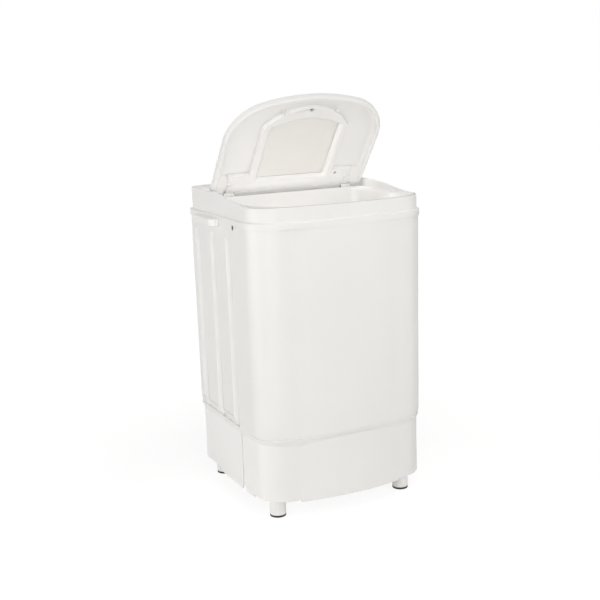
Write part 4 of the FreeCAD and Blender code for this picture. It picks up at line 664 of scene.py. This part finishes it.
cover = welded("top_cover", "cover_moulding")
edit(cover)
shape = bmesh.from_edit_mesh(cover.data)
inner = [face for face in shape.faces if inside_rim(face)]
for corner in {corner for face in inner for corner in face.verts}:
    inward = sum((face.normal for face in corner.link_faces if face in inner), Vector())
    corner.co += inward.normalized() * RIM_GAIN
bmesh.update_edit_mesh(cover.data)
leave()
print(f"{len(inner)} inner faces of the rim moved")

# %% [markdown]
# ## Rounding the cover
# The front and the sides of the rim get a wide rounding, and the outer edges that it leaves get a finer
# one. The foot of the rim, the edge of the opening and the lip follow. A flat face with many corners is
# left on the rim, and a tool may fill it wrongly, so faces with five or more corners are cut into triangles.

# %% Cover edges
LIP_TOP, RIM_OUT = 0.5575, 0.1
RIM_ROUND, RIM_OUTSIDE, RIM_FOOT = 0.0027, 0.0013, 0.002
OPENING_ROUND, LIP_ROUND, LIP_FOOT = 0.004, 0.0022, 0.0006
RIM_END, FOOT_END, OPENING_END, OPENING_SIDE, STUB = 0.09, 0.06, 0.063, 0.15, 0.002


def on_rim(edge):
    """Whether an edge is on the upper side of the raised rim."""
    return edge.place.z > DECK + MILLIMETRE and edge.side.z > LOOKS_UP and near_wall(edge.place)


soften(cover, RIM_ROUND, lambda edge: on_rim(edge) and edge.place.y < RIM_END)
soften(cover, RIM_OUTSIDE, lambda edge: on_rim(edge) and outward(edge.place, edge.side) > RIM_OUT)
soften(cover, RIM_FOOT, lambda edge: (
    near(edge.place.z, DECK) and edge.place.y < FOOT_END and near_wall(edge.place)))
soften(cover, OPENING_ROUND, lambda edge: (
    near(edge.place.z, DECK) and edge.side.z > LOOKS_UP and edge.place.y < OPENING_END
    and not near_wall(edge.place) and abs(edge.place.x) < OPENING_SIDE and edge.length > STUB))
soften(cover, LIP_ROUND, lambda edge: near(edge.place.z, LIP_TOP) and looks_out(edge))
soften(cover, LIP_FOOT, lambda edge: looks_out(edge) and edge.place.z < LIP_TOP - MILLIMETRE)
dress(cover, "cabinet", "white_shell", "top_cover")
cut = cover.modifiers.new("triangles", "TRIANGULATE")
cut.min_vertices = 5
cut.keep_custom_normals = True
bpy.ops.object.modifier_apply(modifier=cut.name)
print(f"{len(cover.data.polygons)} cover faces after cutting the many-sided ones")

# %% [markdown]
# ## The shade line on the rim
# A thin darker line of shade follows the front rim, between the rim and the deck. That shade is painted
# here: a thin grey strip on the flat top of the rim stands in for it. It may be a matt strip or only
# shade, so this is a guess: a thin grey strip on the flat top of the rim. These flat faces are kept from
# a copy of the cover and thickened.

# %% Painted shade strip on the rim
RIM_FLAT, SHADE_STRIP_SLACK, SHADE_STRIP_HIGH, SHADE_STRIP_END, FLAT_UP = 0.5845, 0.0003, 0.0003, -0.12, 0.9

# A thin grey strip on the rim's flat top: painted shade along the front rim.
shade_strip = added("rim_land", cover.data.copy())
edit(shade_strip)
bpy.ops.mesh.customdata_custom_splitnormals_clear()
leave()
keep_faces(shade_strip, lambda middle, normal: (
    normal.z > FLAT_UP and near(middle.z, RIM_FLAT, SHADE_STRIP_SLACK) and middle.y < SHADE_STRIP_END))
thicken(shade_strip, SHADE_STRIP_HIGH, 1)
dress(shade_strip, "cabinet", "grey_plastic")
reach = [corner.co.y for corner in shade_strip.data.vertices]
print(f"the land runs from {min(reach):.3f} to {max(reach):.3f} m")

# %% [markdown]
# ## The lid
# The lid is a shallow tray with a thick rounded rim, and it stands open. Its edges are chosen in the
# lid's own closed position, where its faces lie level: each place is turned back about the hinge first.

# %% Lid shell
HINGE, OPEN = Vector((0, 0.076, 0.5842)), math.radians(52.3)
SHUT = Matrix.Rotation(OPEN, 3, "X")
LID_SKIN = 0.003
LID_SIDE, LID_REAR, LID_FRONT, HALF_FRAME = 0.148, 0.03, -0.125, 0.092
LID_TOP_ROUND, LID_RIM_ROUND, LID_INNER_ROUND = 0.0045, 0.0035, 0.006


def shut(place):
    """Where a point of the open lid lies when the lid is closed."""
    return HINGE + SHUT @ (place - HINGE)


def at_lid_edge(place):
    """Whether a place is away from the window frame and the hinge brackets."""
    flat = shut(place)
    beside_frame = abs(flat.x) > HALF_FRAME or flat.y < LID_FRONT
    return abs(flat.x) > LID_SIDE or (flat.y < LID_REAR and beside_frame)


def lies_level(edge):
    """Whether an edge is level on the closed lid."""
    return abs((SHUT @ edge.along).z) < LEVEL


lid = welded("lid_shell", "lid_moulding")
levels = [shut(corner.co).z for corner in lid.data.vertices]
lid_bottom, lid_top = min(levels), max(levels)
print(f"closed lid from {lid_bottom:.4f} to {lid_top:.4f}")
soften(lid, LID_TOP_ROUND, lambda edge: (
    shut(edge.place).z > lid_top - MILLIMETRE and lies_level(edge)))
soften(lid, LID_RIM_ROUND, lambda edge: (
    shut(edge.place).z < lid_bottom + MILLIMETRE and lies_level(edge) and at_lid_edge(edge.place)))
soften(lid, LID_INNER_ROUND, lambda edge: (
    near(shut(edge.place).z, lid_top - LID_SKIN, MILLIMETRE)
    and lies_level(edge) and at_lid_edge(edge.place)))
dress(lid, "lid", "white_shell", "lid_shell")

# %% [markdown]
# ## The window frame and the hinge brackets
# An arched frame holds the pane from below, and two brackets carry the lid on its pins. They are separate
# mouldings that are screwed to the lid, so they stay separate pieces. The frame is softly rounded on the
# sides that show, and the brackets get a fine rounding all over.

# %% Window frame and hinge brackets
FRAME_ROUND, FRAME_UNDER, FRAME_STUB, BRACKET_ROUND = 0.003, 0.5, 0.003, 0.0008

surround = welded("lid_window_frame", "window_surround")
soften(surround, FRAME_ROUND, lambda edge: (
    (SHUT @ edge.side).z < FRAME_UNDER and edge.length > FRAME_STUB))
dress(surround, "lid", "white_shell", "lid_window_frame")
for hand in ("left", "right"):
    bracket = welded(f"hinge_bracket_{hand}", f"bracket_{hand}")
    soften(bracket, BRACKET_ROUND, lambda edge: True)
    dress(bracket, "lid", "white_shell", f"hinge_bracket_{hand}")

# %% [markdown]
# ## The sill under the window
# Along the hinge the lid's underside runs out in a flat, slightly leaning sill, from one bracket to the
# other. Each length of it is a box with its lower front edge pushed up to the window frame's face. Over
# the hinge ears the sill stops short, so that the lid can swing.

# %% Sill
OPENING = Matrix.Translation(HINGE) @ Matrix.Rotation(-OPEN, 4, "X") @ Matrix.Translation(-HINGE)
SILL_FRONT, SILL_FACE, SILL_TOP = 0.0535, 0.5889, 0.5967
SILL_BACK, SILL_LOW = 0.0788, 0.5839
EAR_FRONT, FAR_EAR_FRONT = 0.0692, 0.063
SILL_PARTS = {"middle": (-0.1172, 0.1172, SILL_BACK), "left": (-0.161, -0.1385, SILL_BACK),
              "right": (0.1385, 0.161, SILL_BACK), "left_ear": (-0.122, -0.1172, EAR_FRONT),
              "right_ear": (0.1172, 0.122, EAR_FRONT), "far_right_ear": (0.1337, 0.1387, EAR_FRONT),
              "far_left_ear": (-0.1387, -0.1337, FAR_EAR_FRONT)}
SILL_ROUND, OUTER_MIDDLE, OUTER_RUN, LONG = 0.0008, 0.13, 0.02, 0.01


def bar(name, low, high):
    """A cube stretched to two corners."""
    bpy.ops.mesh.primitive_cube_add(size=1)
    piece = bpy.context.active_object
    piece.name = name
    edit(piece)
    bpy.ops.transform.resize(value=Vector(high) - Vector(low))
    bpy.ops.transform.translate(value=(Vector(low) + Vector(high)) / 2)
    leave()
    return piece


def sill_height(y):
    """The height of the sill's face at one depth."""
    return SILL_FACE + (SILL_LOW - SILL_FACE) * (y - SILL_FRONT) / (SILL_BACK - SILL_FRONT)


def on_lid(piece):
    """Open a piece that was made on the closed lid, and dress it."""
    piece.data.transform(OPENING)
    dress(piece, "lid", "white_shell")


for part, (start, end, rear) in SILL_PARTS.items():
    sill = bar(f"sill_{part}", (start, SILL_FRONT, sill_height(rear)), (end, rear, SILL_TOP))
    nudge(sill, (0, 0, SILL_FACE - sill_height(rear)),
          lambda place: place.y < SILL_FRONT + MILLIMETRE and place.z < SILL_FACE)
    if abs(start + end) / 2 > OUTER_MIDDLE:
        nudge(sill, (0, -OUTER_RUN, 0),
              lambda place: place.y < SILL_FRONT + MILLIMETRE and place.z > SILL_FACE + MILLIMETRE)
    soften(sill, SILL_ROUND, lambda edge: (
        edge.place.y > rear - MILLIMETRE and edge.side.z < 0 and edge.length > LONG))
    on_lid(sill)
print(len(SILL_PARTS), "lengths of sill")

# %% [markdown]
# ## Knuckles and rail
# Between the sill's lengths a small knuckle covers each hinge ear, and a short joint closes the window
# frame against the sill. A low rail on the deck faces the sill and leaves only a thin dark gap.
# All of them start as bars, because they are straight and only their lower edges show.

# %% Knuckles and rail
KNUCKLE, KNUCKLE_LOW, KNUCKLE_HIGH = (0.1223, 0.1337), (0.052, 0.5856), (0.0712, 0.5905)
JOINT, JOINT_LOW, JOINT_HIGH = (0.0882, 0.093), (0.0315, 0.5895), (SILL_FRONT + 0.002, SILL_TOP)
KNUCKLE_ROUND, JOINT_ROUND = 0.0008, 0.0005
RAIL_FRONT, RAIL_BACK, RAIL_TOP = 0.0618, 0.068, 0.5838
RAIL_HALF, RAIL_ROOT, RAIL_ROUND = 0.164, 0.5755, 0.0006

for hand, sign in (("left", -1), ("right", 1)):
    for name, across, low, high, width in (
            ("knuckle", KNUCKLE, KNUCKLE_LOW, KNUCKLE_HIGH, KNUCKLE_ROUND),
            ("frame_joint", JOINT, JOINT_LOW, JOINT_HIGH, JOINT_ROUND)):
        start, end = sorted(sign * x for x in across)
        piece = bar(f"{name}_{hand}", (start, *low), (end, *high))
        soften(piece, width, lambda edge: edge.side.z < -LOOKS_UP)
        on_lid(piece)
rail = bar("hinge_rail", (-RAIL_HALF, RAIL_FRONT, RAIL_ROOT), (RAIL_HALF, RAIL_BACK, RAIL_TOP))
soften(rail, RAIL_ROUND, lambda edge: edge.place.z > RAIL_TOP - MILLIMETRE)
dress(rail, "cabinet", "white_shell")
print("the rail stands", round((RAIL_TOP - DECK) / MILLIMETRE, 1), "mm high")

# %% [markdown]
# ## Screws
# The cover and the lid are held by pan-head screws with a cross recess. A head is a short cylinder whose
# top edge is rounded, and two thin bars cut the cross out of it. One head is modelled for each size, and
# the others are copies, turned to face out of their holes.

# %% One screw head
HEAD_ROUND, HEAD_EDGE, CROSS_LONG, CROSS_THIN, CROSS_FLOOR = 0.28, 0.9, 0.55, 0.12, 0.45


def round_bar(name, radius, low, high, sides=32):
    """An upright cylinder between two levels."""
    bpy.ops.mesh.primitive_cylinder_add(vertices=sides, radius=radius, depth=high - low,
                                        location=(0, 0, (low + high) / 2))
    piece = bpy.context.active_object
    piece.name = name
    bpy.ops.object.transform_apply()
    return piece


def carve(piece, tool):
    """Cut one object out of another and remove the tool."""
    only(piece)
    cutting = piece.modifiers.new("cut", "BOOLEAN")
    cutting.operation = "DIFFERENCE"
    cutting.solver = "EXACT"
    cutting.object = tool
    bpy.ops.object.modifier_apply(modifier=cutting.name)
    bpy.data.objects.remove(tool)


def screw_head(name, radius, height):
    """A pan head with a cross recess that stands on the origin."""
    head = round_bar(name, radius, 0, height)
    soften(head, radius * HEAD_ROUND, lambda edge: edge.place.z > height * HEAD_EDGE)
    long, thin, deep = radius * CROSS_LONG, radius * CROSS_THIN, height * CROSS_FLOOR
    carve(head, bar("slot", (-long, -thin, deep), (long, thin, 2 * height)))
    carve(head, bar("slot", (-thin, -long, deep), (thin, long, 2 * height)))
    return head


print("a head's cross is", CROSS_LONG, "of its radius long")

# %% Screw heads of the cover and the panel
UP = Vector((0, 0, 1))
COVER_HEAD, COVER_SCREW_X, COVER_SCREW_Y, COVER_SCREW_Z = (0.0042, 0.0016), 0.178, (-0.063, 0.124), 0.543
PANEL_HEAD, PANEL_SCREW_Y = (0.0036, 0.0026), 0.1703
PANEL_SCREW_X, PANEL_SCREW_Z = (-0.036, 0.06), (0.069, 0.131)


def copied(piece, name, *moves):
    """A copy with a mesh of its own, moved by the given matrices from right to left."""
    twin = added(name, piece.data.copy())
    for move in reversed(moves):
        twin.data.transform(move)
    return twin


def facing(place, way):
    """The matrix that stands an upright piece on a place and turns it to face a way."""
    return Matrix.Translation(Vector(place)) @ UP.rotation_difference(Vector(way)).to_matrix().to_4x4()


def joined(pieces, name):
    """Several objects made one."""
    only(pieces[0])
    for piece in pieces:
        piece.select_set(True)
    bpy.ops.object.join()
    pieces[0].name = name
    return pieces[0]


pattern = screw_head("screw_pattern", *COVER_HEAD)
heads = [copied(pattern, "head", facing((side * COVER_SCREW_X, y, COVER_SCREW_Z), (side, 0, 0)))
         for side in (-1, 1) for y in COVER_SCREW_Y]
dress(joined(heads, "cover_screw_heads"), "cabinet", "dark_steel", "cover_screws")
bpy.data.objects.remove(pattern)

pattern = screw_head("screw_pattern", *PANEL_HEAD)
heads = [copied(pattern, "head", facing((x, PANEL_SCREW_Y, z), (0, 1, 0)))
         for x in PANEL_SCREW_X for z in PANEL_SCREW_Z]
dress(joined(heads, "panel_screw_heads"), "cabinet", SLOT_OF["service_panel_screws"],
      "service_panel_screws")
bpy.data.objects.remove(pattern)

# %% [markdown]
# ## Lid screws
# The lid's screws sit in round recesses. The one at the top of the arch and the one on the right bracket
# show as dark dots. The arch screw's head is wide and near-black, darker than steel, so it also stands for
# the shade in its recess: partly a real head, partly painted shade. The others are closed with white caps,
# and a small cross shows on the caps of the window frame. The caps are tall enough to close the recesses
# down to the lid's floor.

# %% Lid screws and caps
LID_SEAT, LID_FACE, LID_FLOOR = 0.5949, 0.5889, 0.5967
DOWN = (0, 0, -1)
ARCH_SPOT = (0, -0.123)
FRAME_SPOTS = [(-0.055, -0.116), (0.055, -0.116)]
BRACKET_SPOTS = [(-0.098, 0.041), (0.098, 0.041)]
WIDE_HEAD, SMALL_HEAD, CROSS_HEAD = (0.0035, 0.0018), (0.0026, 0.0018), (0.0014, 0.0006)
CAP_RADIUS, CAP_PROUD, CAP_EDGE, CAP_ROUND = 0.0042, 0.0002, 0.006, 0.0007

wide = screw_head("wide_pattern", *WIDE_HEAD)
small = screw_head("small_pattern", *SMALL_HEAD)
cross = screw_head("cross_pattern", *CROSS_HEAD)
cap = round_bar("cap_pattern", CAP_RADIUS, 0, LID_FLOOR - LID_FACE + CAP_PROUD, 40)
soften(cap, CAP_ROUND, lambda edge: edge.place.z > CAP_EDGE)


def under_lid(pattern, name, spots, level):
    """Copies of a pattern that face down from the closed lid, opened with it."""
    return joined([copied(pattern, "copy", OPENING, facing((x, y, level), DOWN)) for x, y in spots], name)


heads = under_lid(small, "lid_screw_heads", BRACKET_SPOTS + FRAME_SPOTS, LID_SEAT)
dress(heads, "lid", "dark_steel", "lid_screws")
# The arch head's near-black finish is partly painted shade of its recess.
dress(under_lid(wide, "arch_screw_head", [ARCH_SPOT], LID_SEAT), "lid", "dark_plastic")
dress(under_lid(cap, "lid_screw_caps", FRAME_SPOTS + BRACKET_SPOTS[:1], LID_FLOOR), "lid", "white_shell")
dress(under_lid(cross, "cap_crosses", FRAME_SPOTS, LID_FACE), "lid", "grey_plastic")
for pattern in (wide, small, cross, cap):
    bpy.data.objects.remove(pattern)

# %% [markdown]
# ## Feet
# Each foot is a short moulded leg on a black rubber pad. The leg keeps the solid's shape with softer edges.
# The pad is a low cylinder whose lower edge is rounded more than its upper one, as pressed rubber is.

# %% Legs and pads
PAD_RADIUS, PAD_HIGH = 0.0153, 0.004
PAD_LOW_ROUND, PAD_TOP_ROUND, LEG_ROUND, LEG_STUB = 0.0009, 0.0005, 0.0007, 0.0008
FEET = {"front_left": (-0.134, -0.1145), "front_right": (0.134, -0.1145),
        "back_left": (-0.134, 0.147), "back_right": (0.134, 0.147)}

pattern = round_bar("pad_pattern", PAD_RADIUS, 0, PAD_HIGH, 48)
soften(pattern, PAD_LOW_ROUND, lambda edge: edge.place.z < MILLIMETRE)
soften(pattern, PAD_TOP_ROUND, lambda edge: edge.place.z > PAD_HIGH - MILLIMETRE)
for foot, (x, y) in FEET.items():
    leg = welded(f"foot_leg_{foot}", f"leg_{foot}")
    soften(leg, LEG_ROUND, lambda edge: edge.length > LEG_STUB)
    dress(leg, "cabinet", "white_shell", f"foot_leg_{foot}")
    pad = copied(pattern, f"pad_{foot}", Matrix.Translation((x, y, 0)))
    dress(pad, "cabinet", "pad_rubber", f"foot_pad_{foot}")
bpy.data.objects.remove(pattern)

# %% [markdown]
# ## Dials
# Two dials stand on the rear plate: a wash timer and a selector. A dial starts as a flat disc. Its top is
# pulled in and raised to make the grip, ribs go round the grip for wet fingers, and a dark line on the
# top shows where the dial points. Both dials are copies of one pattern, turned to their rest positions.

# %% Knobs
KNOB_SEAT, KNOB_Y, KNOB_RADIUS, SKIRT_HIGH = 0.6008, 0.138, 0.0229, 0.003
GRIP_RADIUS, GRIP_RISE, GRIP_TAPER, GRIP_ROUND = 0.0183, 0.0145, 0.9, 0.0011
RIB_COUNT, RIB_ROOT, RIB_CREST, RIB_HALF, RIB_END, RIB_ROUND = 28, 0.0018, 0.0002, 0.0007, 0.014, 0.0004
POINTER_LOW, POINTER_HIGH = (-0.0011, 0.004, 0.0172), (0.0011, 0.0155, 0.0178)
POINTER_EDGE, POINTER_ROUND = 0.0175, 0.0002
TIMER_START = 150
DIALS = {"timer": (0.07, TIMER_START), "selector": (-0.07, 0)}


def turned(degrees):
    """A turn about the upright axis."""
    return Matrix.Rotation(math.radians(degrees), 4, "Z")


def pull_up_top(piece, gap, rise, taper):
    """Inset the top face, raise it and draw it in."""
    top = max(face.center.z for face in piece.data.polygons)
    choose(piece, "FACE", lambda face: near(face.calc_center_median().z, top, WELD))
    bpy.ops.mesh.inset(thickness=gap)
    bpy.ops.mesh.extrude_region_move(TRANSFORM_OT_translate={"value": (0, 0, rise)})
    bpy.ops.transform.resize(value=(taper, taper, 1))
    leave()


pattern = round_bar("knob_pattern", KNOB_RADIUS, 0, SKIRT_HIGH, 84)
pull_up_top(pattern, KNOB_RADIUS - GRIP_RADIUS, GRIP_RISE, GRIP_TAPER)
soften(pattern, GRIP_ROUND, lambda edge: edge.place.z > MILLIMETRE)
rib = bar("rib", (GRIP_RADIUS - RIB_ROOT, -RIB_HALF, SKIRT_HIGH),
          (GRIP_RADIUS - RIB_CREST, RIB_HALF, RIB_END))
soften(rib, RIB_ROUND, lambda edge: edge.place.x > GRIP_RADIUS - MILLIMETRE)
ribs = [copied(rib, "rib", Matrix.Rotation(math.tau * n / RIB_COUNT, 4, "Z")) for n in range(RIB_COUNT)]
pattern = joined([pattern, *ribs], "knob_pattern")
bpy.data.objects.remove(rib)
pointer = bar("pointer_pattern", POINTER_LOW, POINTER_HIGH)
soften(pointer, POINTER_ROUND, lambda edge: edge.place.z > POINTER_EDGE)
for dial, (x, rest) in DIALS.items():
    stand = Matrix.Translation((x, KNOB_Y, KNOB_SEAT)) @ turned(rest)
    dress(copied(pattern, f"{dial}_grip", stand), f"{dial}_dial", SLOT_OF[f"{dial}_knob"], f"{dial}_knob")
    dress(copied(pointer, f"{dial}_pointer", stand), f"{dial}_dial", "dark_plastic")
bpy.data.objects.remove(pattern)
bpy.data.objects.remove(pointer)

# %% [markdown]
# ## Marks on the plate
# The plate under the dials carries printed marks: one for each minute of the timer, four numbers and the
# selector's three positions. Print could be a texture, but thin raised marks stay sharp from every side.
# A number is a text object that is made a mesh before it is moved to its place.

# %% Marks on the plate
PLATE_TOP, PLATE_EDGE, PLATE_ROUND, MARK_HIGH = 0.6005, 0.6, 0.0008, 0.00015
TICK_HALF, TICK_NEAR, TICK_FAR = 0.0003, 0.0245, 0.027
MINUTE_TURN, MINUTES, NUMBERS, SELECTOR_STOPS = 20, 15, (0, 5, 10, 15), (-45, 0, 45)
NUMBER_SIZE, NUMBER_REACH = 0.006, 0.0305


def number_mark(minute):
    """A raised number beside its minute on the timer."""
    angle = math.radians(TIMER_START - MINUTE_TURN * minute)
    bpy.ops.object.text_add()
    number = bpy.context.active_object
    number.data.body = str(minute)
    number.data.size = NUMBER_SIZE
    number.data.align_x = "CENTER"
    number.data.align_y = "CENTER"
    number.data.extrude = MARK_HIGH / 2
    bpy.ops.object.convert(target="MESH")
    number.data.transform(Matrix.Translation((
        DIALS["timer"][0] - math.sin(angle) * NUMBER_REACH,
        KNOB_Y + math.cos(angle) * NUMBER_REACH, PLATE_TOP + MARK_HIGH / 2)))
    return number


plate = welded("control_fascia", "dial_plate")
soften(plate, PLATE_ROUND, lambda edge: edge.place.z > PLATE_EDGE and edge.length > LONG)
dress(plate, "cabinet", SLOT_OF["control_fascia"], "control_fascia")
tick = bar("tick", (-TICK_HALF, TICK_NEAR, 0), (TICK_HALF, TICK_FAR, MARK_HIGH))
turns = {"timer": [TIMER_START - MINUTE_TURN * n for n in range(MINUTES + 1)], "selector": SELECTOR_STOPS}
marks = [copied(tick, "mark", Matrix.Translation((DIALS[dial][0], KNOB_Y, PLATE_TOP)), turned(degrees))
         for dial, stops in turns.items() for degrees in stops]
bpy.data.objects.remove(tick)
marks += [number_mark(minute) for minute in NUMBERS]
print(len(marks), "marks")
dress(joined(marks, "plate_marks"), "cabinet", "dark_plastic")

# %% [markdown]
# ## The back
# The service panel covers the motor. Real ones have pressed louvres that let warm air out, so a row of
# small bars with rounded tops goes on the panel. The drain spout and the cord gland get softer edges.

# %% Panel, spout and gland
PANEL_FACE, PANEL_ROUND = 0.169, 0.0008
LOUVRE_LOW, LOUVRE_HIGH, LOUVRE_ROUND = (-0.023, 0.1698, 0), (0.047, 0.1722, 0.0034), 0.0011
LOUVRES, LOUVRE_START, LOUVRE_STEP, LOUVRE_EDGE = 6, 0.078, 0.008, 0.171
FITTING_FACE, FITTING_ROUND = 0.1682, 0.0006

panel = welded("service_panel", "back_panel")
soften(panel, PANEL_ROUND, lambda edge: edge.place.y > PANEL_FACE and edge.length > LONG)
dress(panel, "cabinet", SLOT_OF["service_panel"], "service_panel")
louvre = bar("louvre", LOUVRE_LOW, LOUVRE_HIGH)
soften(louvre, LOUVRE_ROUND, lambda edge: edge.place.y > LOUVRE_EDGE)
louvres = [copied(louvre, "louvre", Matrix.Translation((0, 0, LOUVRE_START + LOUVRE_STEP * n)))
           for n in range(LOUVRES)]
dress(joined(louvres, "panel_louvres"), "cabinet", SLOT_OF["service_panel"])
bpy.data.objects.remove(louvre)
for node, name in (("drain_outlet", "drain_spout"), ("cord_gland", "cord_bush")):
    fitting = welded(node, name)
    soften(fitting, FITTING_ROUND, lambda edge: edge.place.y > FITTING_FACE)
    dress(fitting, "cabinet", SLOT_OF[node], node)

# %% [markdown]
# ## Inside the tub
# Clothes rub against upright ribs while the ribbed disc at the bottom swings the water. A rib is a long
# cylinder with round ends, sunk halfway into the wall and leaned back with it. Twelve copies go round.

# %% Tub ribs and pulsator
TUB_AXIS, TUB_RIM, TUB_ROUND = Vector((0, -0.004, 0)), 0.53, 0.0015
TUB_RIBS, TUB_RIB_RADIUS, TUB_RIB_ROUND = 12, 0.005, 0.0045
TUB_RIB_LOW, TUB_RIB_HIGH, TUB_FOOT = 0.215, 0.515, 0.18
TUB_TOP_RADIUS, TUB_LOW_RADIUS, TUB_DEPTH = 0.148, 0.14, 0.36
WALL_RADIUS, WALL_LEAN = 0.1408, math.atan2(TUB_TOP_RADIUS - TUB_LOW_RADIUS, TUB_DEPTH)
DISC_TOP, DISC_ROUND = 0.186, 0.0012

tub = welded("wash_tub", "tub_moulding")
soften(tub, TUB_ROUND, lambda edge: edge.place.z > TUB_RIM and edge.side.z > LOOKS_UP)
dress(tub, "cabinet", "white_inner", "wash_tub")
rib = round_bar("rib", TUB_RIB_RADIUS, TUB_RIB_LOW, TUB_RIB_HIGH, 16)
soften(rib, TUB_RIB_ROUND, lambda edge: True)
rib.data.transform(Matrix.Translation((WALL_RADIUS, 0, 0)) @ Matrix.Rotation(WALL_LEAN, 4, "Y"))
rib.data.transform(Matrix.Translation((-math.sin(WALL_LEAN) * TUB_FOOT, 0, 0)))
ribs = [copied(rib, "rib", Matrix.Translation(TUB_AXIS),
               Matrix.Rotation(math.tau * (n + 0.5) / TUB_RIBS, 4, "Z")) for n in range(TUB_RIBS)]
dress(joined(ribs, "tub_ribs"), "cabinet", "white_inner")
bpy.data.objects.remove(rib)
stirrer = welded("pulsator", "stirring_disc")
soften(stirrer, DISC_ROUND, lambda edge: edge.place.z > DISC_TOP)
dress(stirrer, "pulsator_drive", SLOT_OF["pulsator"], "pulsator")

# %% [markdown]
# ## Which lamp lights what
# In a studio, flags and screens keep a small lamp's light on one place. Here a lamp has a collection of the
# pieces that it lights, and everything else ignores it. The back lamp lights all pieces but leaves out the
# floor and the window. The step lamp softens the dark outlines of the window frame and brackets, so nothing
# near them may shade it: its only blocker is a foot pad, far out of its way.

# %% Linking the lamps
lid_pieces = [piece.name for piece in frame["bodies"]["lid"].children_recursive]
all_pieces = [piece.name for body in frame["bodies"].values() for piece in body.children_recursive]
legs = [f"leg_{foot}" for foot in FEET]
LIT = {
    "lid_lamp": ([lid_lamp], lid_pieces),
    "back_lamp": ([back_lamp], [name for name in all_pieces if "window" not in name]),
    "plinth_lamp": ([plinth_lamp], ["plinth_moulding", *legs]),
    "leg_lamp": ([leg_lamp], legs),
    "sill_lamp": ([sill_lamp], [name for name in lid_pieces if name.startswith(("sill", "knuckle"))]),
    "gap_lamp": ([gap_lamp], ["lid_moulding"]),
    "console_lamp": ([console_lamp], ["cover_moulding", "dial_plate", "timer_grip", "selector_grip"]),
    "step_lamp": ([step_lamp], ["window_surround", "bracket_left", "bracket_right"]),
    "deck_lamps": ([trough_lamp, front_deck_lamp, end_lamp, *deck_lamps], ["cover_moulding", "hinge_rail"]),
}


def collected(name, pieces):
    """A collection of the named pieces."""
    collection = bpy.data.collections.new(name)
    for piece in pieces:
        collection.objects.link(bpy.data.objects[piece])
    return collection


for name, (lamps, pieces) in LIT.items():
    lit = collected(f"lit_by_{name}", pieces)
    for lamp in lamps:
        lamp.light_linking.receiver_collection = lit
step_lamp.light_linking.blocker_collection = collected("blocks_step_lamp", ["pad_front_left"])

# %% [markdown]
# ## Size and finish
# The looks must not change the machine's size. The box of the finished pieces is printed.

# %% Size and finish
low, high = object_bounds()
print("visual box", [round(v, 4) for v in (*low, *high)])
